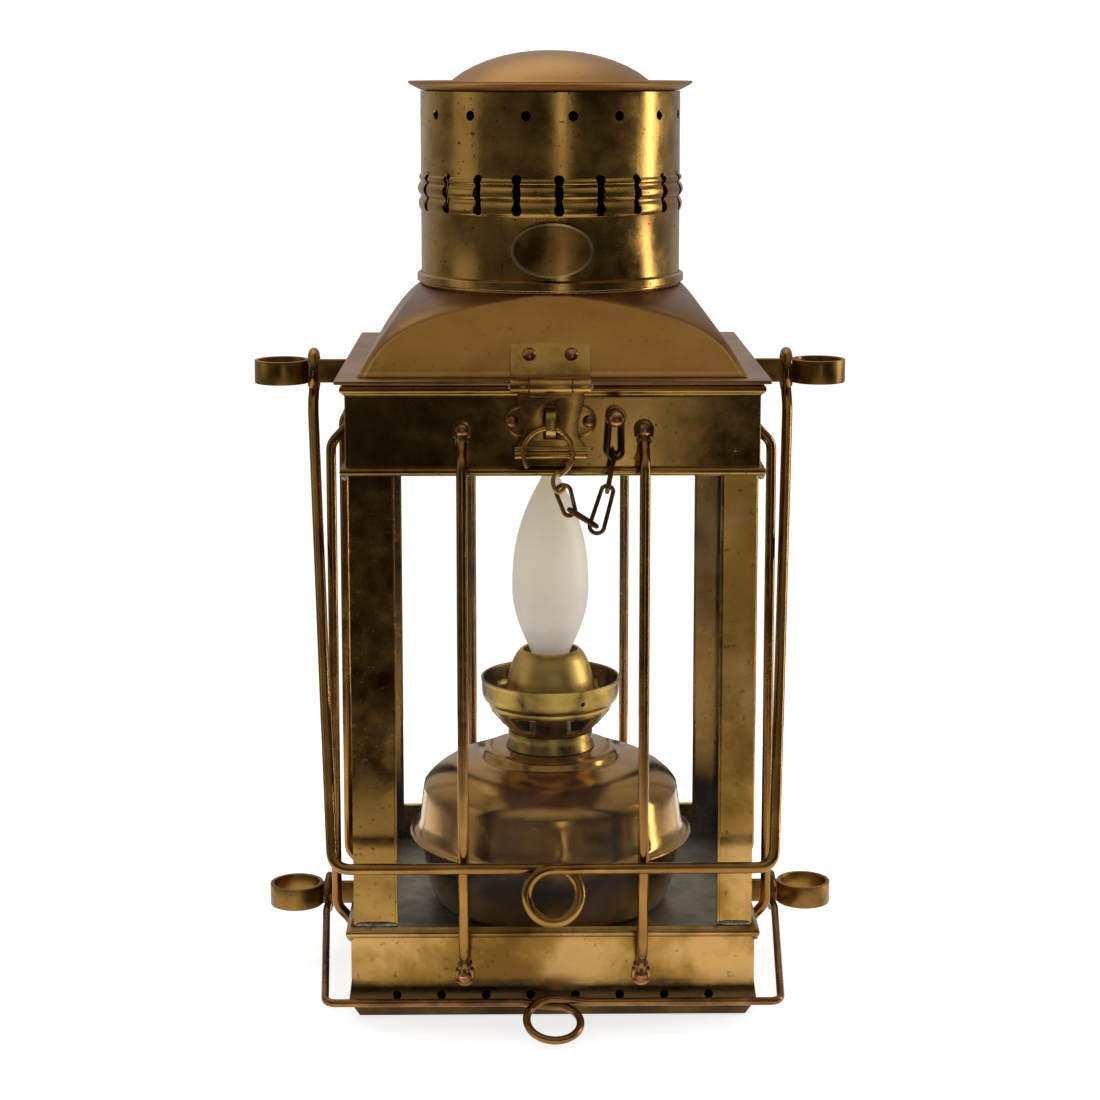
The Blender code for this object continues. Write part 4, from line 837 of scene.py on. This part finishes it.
def badge():
    """A plain oval plate with a raised rim, bent round the chimney."""
    bm = bmesh.new()
    bmesh.ops.create_circle(bm, cap_ends=True, segments=64, radius=1.0)
    bmesh.ops.scale(bm, vec=(BADGE_WIDE, BADGE_HIGH, 1), verts=bm.verts)
    bmesh.ops.inset_region(bm, faces=bm.faces[:], thickness=0.35, depth=0.45)
    for width, rise in ((0.7, 0.0), (0.4, -0.35), (3.2, 0.0), (0.5, 0.22)):
        middle = [f for f in bm.faces if len(f.verts) > 4]
        bmesh.ops.inset_region(bm, faces=middle, thickness=width, depth=rise)
    for at in range(-8, 9):
        bmesh.ops.bisect_plane(bm, geom=bm.verts[:] + bm.edges[:] + bm.faces[:], dist=0.001,
                               plane_co=(at * 2.0, 0, 0), plane_no=(1, 0, 0))
    rim = [e for e in bm.edges if len(e.link_faces) == 1]
    grown = bmesh.ops.extrude_edge_only(bm, edges=rim)
    low = [g for g in grown["geom"] if isinstance(g, bmesh.types.BMVert)]
    bmesh.ops.translate(bm, vec=(0, 0, -0.25), verts=low)
    bmesh.ops.holes_fill(bm, edges=[e for e in bm.edges if len(e.link_faces) == 1], sides=0)
    bmesh.ops.recalc_face_normals(bm, faces=bm.faces)
    for v in bm.verts:
        radius = BADGE_BACK_R + v.co.z
        x, z = v.co.x, v.co.y
        v.co = (x, -math.sqrt(radius * radius - x * x), BADGE_Z + z)
    place_piece("plain_badge", tidy(bm), "lid", "chimney_brass", ["badge"], look="badge_brass")


# ---------------------------------------------------------------- hinges and hasp

BARREL_Z, BARREL_Y, BARREL_R, HINGE_X = 276.2, 94.2, 2.9, -1.0


def knuckle(low, high, radius=BARREL_R):
    """A rolled hinge tube."""
    return bar((low, -BARREL_Y, BARREL_Z), (high, -BARREL_Y, BARREL_Z), radius, 40, 0.3)


def roof_leaf(front):
    """A leaf with an arched top that lies on the hood, and its two outer knuckles."""
    foot, top = Vector((84.25, 279.75)), Vector((75.2, 292.45))
    run = (top - foot).length
    arch = [(16.7, run - 1.6), (16.0, run - 0.95)] + [
        (13.0 - at * 2.6, run - 0.95 + 0.95 * math.sin(math.pi * (at + 1) / 12)) for at in range(11)] + [
        (-16.0, run - 0.95), (-16.7, run - 1.6)]
    bm = slab([(16.7, -0.2)] + arch + [(-16.7, -0.2)], 1.1, 0.3)
    lean = math.atan2(top.y - foot.y, foot.x - top.x)
    bmesh.ops.transform(bm, matrix=Matrix.Translation((0, -foot.x, foot.y))
                        @ Matrix.Rotation(lean, 4, "X") @ Matrix.Translation((0, 0, -1.1)), verts=bm.verts)
    shelf = block((-16.7, -91.2, 278.45), (16.7, -83.4, 279.65), 0.25)
    ears = []
    for low, high in ((-16.7, -9.1), (9.1, 16.7)):
        ears.append(knuckle(low, high))
        ears.append(block((low, -94.6, 278.0), (high, -90.6, 279.2), 0.35))
    whole = moved(together(bm, shelf, *ears), (HINGE_X, 0, 0))
    if not front:
        moved(whole, (-2 * HINGE_X, 0, 0), turn=180)
    return whole


def hinges():
    """Both roof leaves, the front one's rivets and the strap behind the case."""
    place_piece("front_leaf", roof_leaf(True), "lid", "hinge_brass", ["front_hinge_plate"])
    place_piece("rear_leaf", roof_leaf(False), "lid", "hinge_brass", ["rear_hinge_upper_leaf"])
    foot, top = Vector((84.2, 279.7)), Vector((75.2, 292.5))
    seat = foot + (top - foot) * 0.62
    lean = math.degrees(math.atan2(top.y - foot.y, foot.x - top.x))
    for number, x in ((1, -9.9), (2, 7.9)):
        head = dome_head(0, 0, 0, 2.9, 1.9)
        moved(head, turn=lean - 90, axis="X")
        bmesh.ops.translate(head, vec=(x, -seat.x - 0.25, seat.y + 0.2), verts=head.verts)
        place_piece("leaf_rivet_%d" % number, head, "lid", "copper", ["hinge_rivet_%d" % number])

    outline = [(-8.8, 271.0), (-8.8, 252.0), (-6.0, 250.0), (6.0, 250.0), (8.8, 252.0), (8.8, 271.0)]
    strap_face = -WALL_FACE - 1.3
    strap = facing_front(slab(eased(outline, 1.2, 3), 1.3, 0.3), strap_face)
    lower = together(strap, block((-8.8, -94.0, 269.9), (8.8, -WALL_FACE, 271.2), 0.3),
                     block((-8.8, -94.0, 270.0), (8.8, -92.7, 275.6), 0.3),
                     knuckle(-8.8, 8.8),
                     dome_head(-4.6, 259.5, strap_face, 2.6, 1.4),
                     dome_head(4.6, 259.5, strap_face, 2.6, 1.4))
    moved(lower, (-HINGE_X, 0, 0), turn=180)
    place_piece("rear_strap", lower, "case", "hinge_brass", ["rear_hinge_lower_leaf"])


def hasp():
    """The slotted hasp with its rolled lip and its knuckle."""
    back, thick = -91.6, 1.3
    right = [(8.8, 275.0), (14.4, 272.6), (13.6, 268.5), (12.2, 263.5), (11.3, 259.5), (11.2, 257.0),
             (12.0, 253.8), (13.8, 251.2), (15.0, 250.2), (15.0, 247.0)]
    outline = right + [(-x, z) for x, z in reversed(right)]
    slot = arc((0, 266.4), 2.95, 0, 180, 16) + [(-2.95, 253.9), (2.95, 253.9)]
    leaf = facing_front(slab(eased_pairs(outline, 1.4), thick, 0.3, [slot]), back - thick)
    lip = bar((-15.0, back - 1.7, 247.3), (15.0, back - 1.7, 247.3), 1.75, 32, 0.35)
    step = bar((-15.0, back - 1.35, 249.8), (15.0, back - 1.35, 249.8), 1.15, 24, 0.3)
    whole = together(leaf, lip, step, knuckle(-8.8, 8.8, 3.0),
                     block((-8.8, -93.4, 271.5), (8.8, -91.7, 276.0), 0.3))
    place_piece("hasp_leaf", moved(whole, (HINGE_X, 0, 0)), "hasp", "hinge_brass", ["hasp"])


def staple():
    """The plate, its rivets and the bent strap that the hasp closes over."""
    face = -WALL_FACE
    left, right, mid, half = -13.3, 11.3, 260.7, 6.9
    outline = arc((right, mid), half, -90, 90, 24) + arc((left, mid), half, 90, 270, 24)
    plate = facing_front(slab(outline, 1.2, 0.35), face - 1.2)
    rims = []
    for x in (left, right):
        rims.append(rod([(x + 5.9 * math.cos(a), face - 1.2, mid + 5.9 * math.sin(a))
                         for a in [math.tau * at / 48 for at in range(48)]], 0.35, True, 2))
    place_piece("staple_base", together(plate, *rims), "case", "hinge_brass", ["staple_plate"])
    for number, x in ((1, -17.0), (2, 14.8)):
        place_piece("staple_head_%d" % number, dome_head(x, mid, face - 1.3, 2.6, 1.7), "case", "copper",
                    ["staple_rivet_%d" % number])

    front, tip, bend, strap, top, low = -88.6, -100.6, 4.6, 1.5, 266.6, 254.9
    outer = [(front, top)] + arc((tip + bend, top - bend), bend, 90, 180, 12)
    outer += arc((tip + bend, low + bend), bend, 180, 270, 12) + [(front, low)]
    inner = [(front, low + strap)] + arc((tip + bend, low + bend), bend - strap, 270, 180, 12)
    inner += arc((tip + bend, top - bend), bend - strap, 180, 90, 12) + [(front, top - strap)]
    bm = slab(outer + inner, 4.2, 0.45)
    sideways = Matrix(((0, 0, 1, HINGE_X - 2.1), (1, 0, 0, 0), (0, 1, 0, 0), (0, 0, 0, 1)))
    bmesh.ops.transform(bm, matrix=sideways, verts=bm.verts)
    bmesh.ops.recalc_face_normals(bm, faces=bm.faces)
    place_piece("staple_strap", bm, "case", "hinge_brass", ["staple"], look="burner_brass")


# ---------------------------------------------------------------- bails, key and chain

def bail(wire_r, eye_x, pivot_z, eye_r, bar_y, bar_z, bar_half, loop_r, loop_lean, corner):
    """One bent wire: eye, arm, half the bar, a loop in the middle, and the same back."""
    lean = math.degrees(math.atan2(bar_z - pivot_z, bar_y))
    arm = Vector((0, bar_y, bar_z - pivot_z)).normalized()
    left_eye = [Vector((-eye_x, y, z)) for y, z in arc((0, pivot_z), eye_r, lean + 340, lean + 20, 44)]
    right_eye = [Vector((eye_x, y, z)) for y, z in arc((0, pivot_z), eye_r, lean + 20, lean + 340, 44)]
    root = arm * (eye_r + 9)
    left_root = Vector((-eye_x, root.y, pivot_z + root.z))
    right_root = Vector((eye_x, root.y, pivot_z + root.z))
    down = Vector((0, math.sin(loop_lean), -math.cos(loop_lean)))
    across = Vector((0, math.cos(loop_lean), math.sin(loop_lean))) * (wire_r + 0.35)
    loop = []
    for step in range(61):
        share = step / 60
        angle = math.radians(90 - 360 * share)
        spot = Vector((loop_r * math.cos(angle), bar_y, bar_z)) + down * loop_r * (1 - math.sin(angle))
        loop.append(spot + across * (1 - 2 * share))
    start = Vector((-loop_r * 1.2, bar_y, bar_z))
    finish = Vector((loop_r * 1.2, bar_y, bar_z))
    left = left_eye[:-1] + eased([left_eye[-1], left_root, (-bar_half, bar_y, bar_z), start], corner, 12)
    right = eased([finish, (bar_half, bar_y, bar_z), right_root, right_eye[0]], corner, 12) + right_eye[1:]
    over = eased([start, start + Vector((loop_r * 0.5, 0, 0)) + across * 0.6, loop[0]], loop_r * 0.4, 6)
    under = eased([loop[-1], finish - Vector((loop_r * 0.5, 0, 0)) - across * 0.6, finish], loop_r * 0.4, 6)
    return rod(left[:-1] + over[:-1] + loop + under[1:-1] + right, wire_r, resolution=6)


def bails():
    """The upper and the lower carrying wire."""
    bm = bail(2.4, 106.6, 270.75, 8.1, -103.6, 72.6, 93.0, 11.2, math.radians(-12), 8)
    place_piece("upper_bail_wire", bm, "upper_bail", "wire_brass", ["upper_bail"])
    bm = bail(1.7, 103.0, 26.0, 7.7, -98.6, 11.6, 97.3, 11.4, math.radians(-69), 5)
    place_piece("lower_bail_wire", bm, "lower_bail", "wire_brass", ["lower_bail"], look="bail_bronze")


CHAIN_Y = -93.6


def key():
    """An open ring of wire with a curled tail."""
    y, centre, radius = -97.2, (-2.1, 248.7), 10.3
    ring = arc(centre, radius, 215, -62, 70)
    tail = eased(ring[-3:] + [(1.2, 240.6), (-0.4, 237.4), (0.4, 233.6), (2.2, 232.0), (4.4, 233.4),
                              (4.6, 236.0)], 2.4, 6)
    points = [(x, y, z) for x, z in ring[:-3]] + [(p.x, y, p.y) for p in tail]
    place_piece("key_wire", rod(points, 0.95, resolution=5), "key", "key_brass", ["key_ring"])


def chain_stud():
    """The stud that the chain hangs from, on its washer."""
    spot = (26.2, -WALL_FACE, 262.4)
    neck = -CHAIN_Y - WALL_FACE + 1.2
    profile = [(0, neck + 1.9), (1.2, neck + 1.78), (2.2, neck + 1.35), (2.9, neck + 0.7),
               (3.2, neck + 0.1), (3.1, neck), (1.3, neck), (1.3, 0), (0, 0)]
    stud = moved(spun(profile, 28, closed=False), turn=90, axis="X")
    bmesh.ops.translate(stud, vec=spot, verts=stud.verts)
    place_piece("chain_stud", stud, "case", "copper", ["chain_rivet"])
    washer = moved(spun([(2.0, 0), (4.3, 0), (4.4, 0.35), (4.0, 0.7), (2.0, 0.7)], 32), turn=90, axis="X")
    bmesh.ops.translate(washer, vec=spot, verts=washer.verts)
    place_piece("chain_washer", washer, "case", "hinge_brass")


def chain():
    """Five links, flat and edge-on by turns, each hung from the one before."""
    ends = [Vector(p) for p in ((25.6, 245.6), (22.4, 231.8), (17.4, 214.4), (6.6, 224.4), (3.4, 234.6))]
    top = Vector((26.3, 265.3))
    for number, end in enumerate(ends):
        wide = number % 2 == 0
        along = Vector((end.x - top.x, 0, end.y - top.y)).normalized()
        side = Vector((along.z, 0, -along.x)) if wide else Vector((0, 1, 0))
        small = 2.6 if wide else 2.1
        low, high = Vector((end.x, 0, end.y)), Vector((top.x, 0, top.y))
        points = []
        for step in range(17):
            turn = math.radians(-80 + 10 * step)
            points.append(low + side * 3.1 * math.sin(turn) + along * 3.1 * (math.cos(turn) - 1))
        for step in range(15):
            turn = math.radians(-70 + 10 * step)
            points.append(high - side * small * math.sin(turn) - along * small * (math.cos(turn) - 1))
        points = [p + Vector((0, CHAIN_Y, 0)) for p in points]
        place_piece("link_wire_%d" % (number + 1), rod(points, 0.9, True, 4), "link_%d" % (number + 1),
                    "chain_bronze", ["chain_link_%d" % (number + 1)])
        if wide:
            top = end - (end - top).normalized() * 2.9
        elif number < 4:
            top = end - (ends[number + 1] - end).normalized() * 2.6


# ---------------------------------------------------------------- lamp

def font():
    """The oil font: a pan, a domed cover with a flange, and a collar."""
    pan = [(0, 24.4), (49.6, 24.4), (52.6, 25.6), (54.2, 28.0), (57.0, 36.0), (58.5, 46.0), (59.5, 55.4),
           (58.6, 55.4), (57.6, 46.0), (56.1, 36.2), (53.2, 28.6), (49.6, 25.4), (0, 25.4)]
    place_piece("pan_spinning", spun(pan, 120, closed=False), "case", "font_brass", ["font_pan"])
    outer = [(14.4, 96.4), (26.8, 96.3), (29.2, 95.8), (30.5, 94.6), (31.0, 93.0), (32.2, 92.0),
             (36.0, 91.5), (42.0, 90.4), (47.5, 88.2), (52.6, 84.9), (56.2, 81.8), (58.2, 79.4),
             (58.6, 77.6), (59.1, 74.0), (60.2, 64.0), (60.9, 60.0),
             (61.9, 58.2), (63.4, 57.5), (64.7, 57.4), (64.9, 57.0), (64.7, 56.5), (62.8, 56.5), (60.6, 57.0)]
    inner = [(59.6, 59.8), (59.0, 64.0), (57.9, 74.0), (57.4, 77.6), (57.0, 78.8), (55.4, 80.9),
             (51.8, 83.9), (47.0, 87.0), (41.7, 89.3), (35.8, 90.4), (31.6, 90.8), (30.0, 92.0),
             (29.5, 94.0), (28.6, 94.9), (26.6, 95.4), (14.4, 95.5)]
    place_piece("cover_spinning", spun(outer + inner, 120), "case", "font_brass", ["font_cover"], sharp=60)

    collar = [(18.8, 104.6), (19.3, 104.2), (19.5, 103.2), (19.4, 101.6), (19.6, 98.4), (20.3, 97.0),
              (20.3, 96.7), (18.0, 96.7), (18.0, 104.6)]
    place_piece("collar_spinning", spun(collar, 72), "case", "burner_brass", ["font_collar"])


def burner_cage():
    """The pierced burner cage; each window has a raised rim."""
    cage = [(28.4, 117.4), (28.3, 116.0), (27.4, 114.8), (20.6, 106.4), (19.6, 105.6), (19.3, 104.9),
            (17.8, 104.9), (18.3, 106.2), (26.4, 115.6), (27.2, 116.6), (27.3, 117.4)]
    bm = spun(cage, 96)
    windows = []
    for number in range(6):
        shape = eased_pairs([(-3.4, 107.6), (3.4, 107.6), (6.6, 114.4), (-6.6, 114.4)], 0.9, 4)
        window = facing_front(slab(shape, 22.0, 0), -38.0)
        windows.append(moved(window, turn=60 * number + 30))
    bm = cut(bm, together(*windows))
    rims = []
    for number in range(6):
        frame_line = []
        for x, z in eased([(-3.9, 107.1), (3.9, 107.1), (7.2, 114.8), (-7.2, 114.8)], 0.9, 4, True):
            radius = 20.6 + (z - 106.4) * (27.4 - 20.6) / (114.8 - 106.4) + 0.1
            frame_line.append((x, -math.sqrt(radius * radius - x * x), z))
        rims.append(moved(rod(frame_line, 0.32, True, 2), turn=60 * number + 30))
    place_piece("cage_pressing", together(bm, *rims), "case", "burner_brass", ["burner_cage"])


def gallery():
    """The gallery that would carry a chimney glass, with its four prongs."""
    profile = [(32.0, 129.2), (31.7, 127.6), (31.3, 121.6), (30.6, 119.4), (28.8, 117.7), (21.2, 117.7),
               (21.2, 118.7), (28.3, 118.7), (29.6, 120.0), (30.3, 122.0), (30.8, 128.0), (31.0, 129.2)]
    bm = spun(eased_pairs(profile, 0.5), 120)
    notch = moved(bar((0, -36, 122.8), (0, -27, 122.8), 1.1, 16, 0), turn=27)
    bm = cut(bm, notch)
    place_piece("gallery_spinning", bm, "case", "burner_brass", ["gallery_ring"])
    prongs = []
    for turn in (-58, 32, 122, 212):
        outline = [(-3.2, 0), (3.2, 0), (3.0, 6.5), (0.9, 8.6), (-0.9, 8.6), (-3.0, 6.5)]
        tab = facing_front(slab(eased_pairs(outline, 0.8), 0.5, 0.12), -29.0)
        for v in tab.verts:
            v.co.y += 0.045 * (v.co.z - 3.0) ** 2 - 0.3
        prongs.append(moved(tab, (0, 0, 119.2), turn))
    place_piece("gallery_prongs", together(*prongs), "case", "burner_brass")


def burner_dome():
    """The dome over the burner, open at its top."""
    dome = [(13.1, 142.4), (14.6, 141.0), (15.9, 139.2), (17.4, 136.2), (18.5, 132.8), (19.5, 129.0),
            (20.2, 125.0), (20.6, 121.5), (20.7, 119.0), (19.7, 119.0), (19.2, 125.0), (17.5, 132.3),
            (15.0, 138.4), (12.3, 141.7)]
    # The dome wears a lighter brass as painted light.
    place_piece("dome_spinning", spun(eased_pairs(dome, 0.4), 96), "case", "burner_brass", ["burner_dome"],
                look="painted_light_dome_brass")


def bulb():
    """A flame-shaped glass with a thin wall."""
    belly = 0.37                # the widest place, as a share of the height
    glass = []
    for at in range(33):
        share = 1 - at / 32
        if share < belly:
            radius = 6.6 + 10.9 * math.sin(math.pi / 2 * (share / belly) ** 1.04)
        else:
            radius = 17.5 * max(math.cos(math.pi / 2 * ((share - belly) / (1 - belly)) ** 1.25), 0.0)
        glass.append((radius, BULB_LOW + BULB_RISE * share))
    glass[0] = (0, BULB_TOP)
    lining = [(max(r - 0.8, 0.0), z) for r, z in glass[:0:-1]] + [(0, 227.4)]
    bm = spun(glass + lining, 64, closed=False)
    place_piece("bulb_flame", bm, "case", "frosted_glass", ["bulb_glass"])


# ---------------------------------------------------------------- build

base_band()
upper_band()
posts()
guard_rods()
side_rings()
solder_runs()
hood()
chimney()
badge()
hinges()
hasp()
staple()
bails()
key()
chain_stud()
chain()
font()
burner_cage()
gallery()
burner_dome()
bulb()

# The nodes that no piece replaces keep their shape and take their slot's finish; the bottom plate instead
# takes a near-black brass, painted shade inside the base.
SLOT_OF = {part["node"]: part["material_slot"] for part in frame["record"]["subparts"]}
for name, node in frame["nodes"].items():
    node.data.materials.clear()
    node.data.materials.append(LOOKS["painted_shade_tray_bronze" if name == "bottom_plate" else SLOT_OF[name]])


# ---------------------------------------------------------------- stage, light and camera

FLOOR_R = 0.4


def stage_floor():
    """A round pale floor in metres, just under the lantern and brighter towards its edge."""
    bm = bmesh.new()
    bmesh.ops.create_circle(bm, cap_ends=True, segments=96, radius=FLOOR_R)
    bmesh.ops.inset_region(bm, faces=bm.faces[:], thickness=FLOOR_R / 2, depth=0.0)
    bmesh.ops.translate(bm, vec=(0, 0, -0.0004), verts=bm.verts)
    mesh = as_mesh(bm, "pale_floor")
    floor = set_out("pale_floor", mesh)
    look, tree, shader, where = new_look("pale_floor")
    shader.inputs["Base Color"].default_value = (0.86, 0.86, 0.85, 1)
    shader.inputs["Roughness"].default_value = 0.8
    shader.inputs["Emission Color"].default_value = (1, 1, 1, 1)
    glow = graded(tree, length_of(tree, where), 0.1, 0.22, 0.72, 1.0)
    tree.links.new(glow, shader.inputs["Emission Strength"])
    mesh.materials.append(look)


def area_light(name, place, aim, size, size_y, power):
    """A soft white rectangle of light, aimed at a point."""
    lamp_data = bpy.data.lights.new(name, "AREA")
    lamp_data.shape = "RECTANGLE"
    lamp_data.size = size
    lamp_data.size_y = size_y
    lamp_data.energy = power
    item = set_out(name, lamp_data)
    item.location = place
    item.rotation_euler = (Vector(aim) - Vector(place)).to_track_quat("-Z", "Y").to_euler()


def light_the_stage():
    """A white backdrop for the camera, a dim room for the metal to reflect, and four lights."""
    world = bpy.data.worlds.new("studio")
    bpy.context.scene.world = world
    world.use_nodes = True
    tree = world.node_tree
    tree.nodes.clear()
    out = tree.nodes.new("ShaderNodeOutputWorld")
    seen = tree.nodes.new("ShaderNodeBackground")
    seen.inputs["Color"].default_value = (1, 1, 1, 1)
    seen.inputs["Strength"].default_value = 1.12
    room = tree.nodes.new("ShaderNodeBackground")
    way = axes_of(tree, tree.nodes.new("ShaderNodeTexCoord").outputs["Generated"])
    height = ramp(tree, graded(tree, way["Z"], -1, 1, 0, 1), [
        (0.0, (0.04, 0.04, 0.04)), (0.47, (0.02, 0.02, 0.02)), (0.6, (0.04, 0.04, 0.04)),
        (0.78, (0.20, 0.20, 0.20)), (0.9, (0.42, 0.42, 0.42)), (1.0, (0.5, 0.5, 0.5))])
    side = ramp(tree, graded(tree, way["X"], -1, 1, 0, 1), [
        (0.0, (0.06, 0.06, 0.06)), (0.3, (0.045, 0.045, 0.045)), (0.42, (0.0, 0.0, 0.0)),
        (1.0, (0.0, 0.0, 0.0))])
    back = ramp(tree, graded(tree, way["Y"], -1, 1, 0, 1), [
        (0.0, (0.0, 0.0, 0.0)), (0.6, (0.0, 0.0, 0.0)), (0.8, (0.28, 0.28, 0.28)),
        (1.0, (0.45, 0.45, 0.45))])
    room_tone = blend(tree, 1.0, height, side, "ADD")
    tree.links.new(blend(tree, 1.0, room_tone, back, "ADD"), room.inputs["Color"])
    path = tree.nodes.new("ShaderNodeLightPath")
    mix = tree.nodes.new("ShaderNodeMixShader")
    tree.links.new(path.outputs["Is Camera Ray"], mix.inputs["Fac"])
    tree.links.new(room.outputs[0], mix.inputs[1])
    tree.links.new(seen.outputs[0], mix.inputs[2])
    tree.links.new(mix.outputs[0], out.inputs["Surface"])
    area_light("left_window", (-1.5, -0.25, 0.45), (0, 0, 0.22), 0.7, 1.2, 1.3)
    area_light("right_strip", (1.3, 0.12, 0.3), (0, 0, 0.28), 0.2, 1.1, 6.0)
    area_light("front_card", (0.36, -2.3, 0.1), (0, 0, 0.25), 0.24, 1.2, 1.5)
    area_light("overhead", (-0.2, 0.7, 1.7), (0, 0, 0.1), 1.2, 0.8, 2.6)


def set_camera():
    """The camera at the viewing angle, aimed by turns and by shifts of its lens."""
    camera = bpy.data.cameras.new("camera")
    camera.lens = 78.53
    camera.sensor_width = 36
    camera.shift_x = -0.0016
    camera.shift_y = -0.125
    camera.clip_start = 0.01
    item = set_out("camera", camera)
    item.location = (-0.01362, -1.07533, 0.40891)
    item.rotation_euler = (math.radians(90 - 8.327), 0, math.radians(-0.76))
    bpy.context.scene.camera = item
    bpy.context.scene.view_settings.view_transform = "Standard"


stage_floor()
light_the_stage()
set_camera()
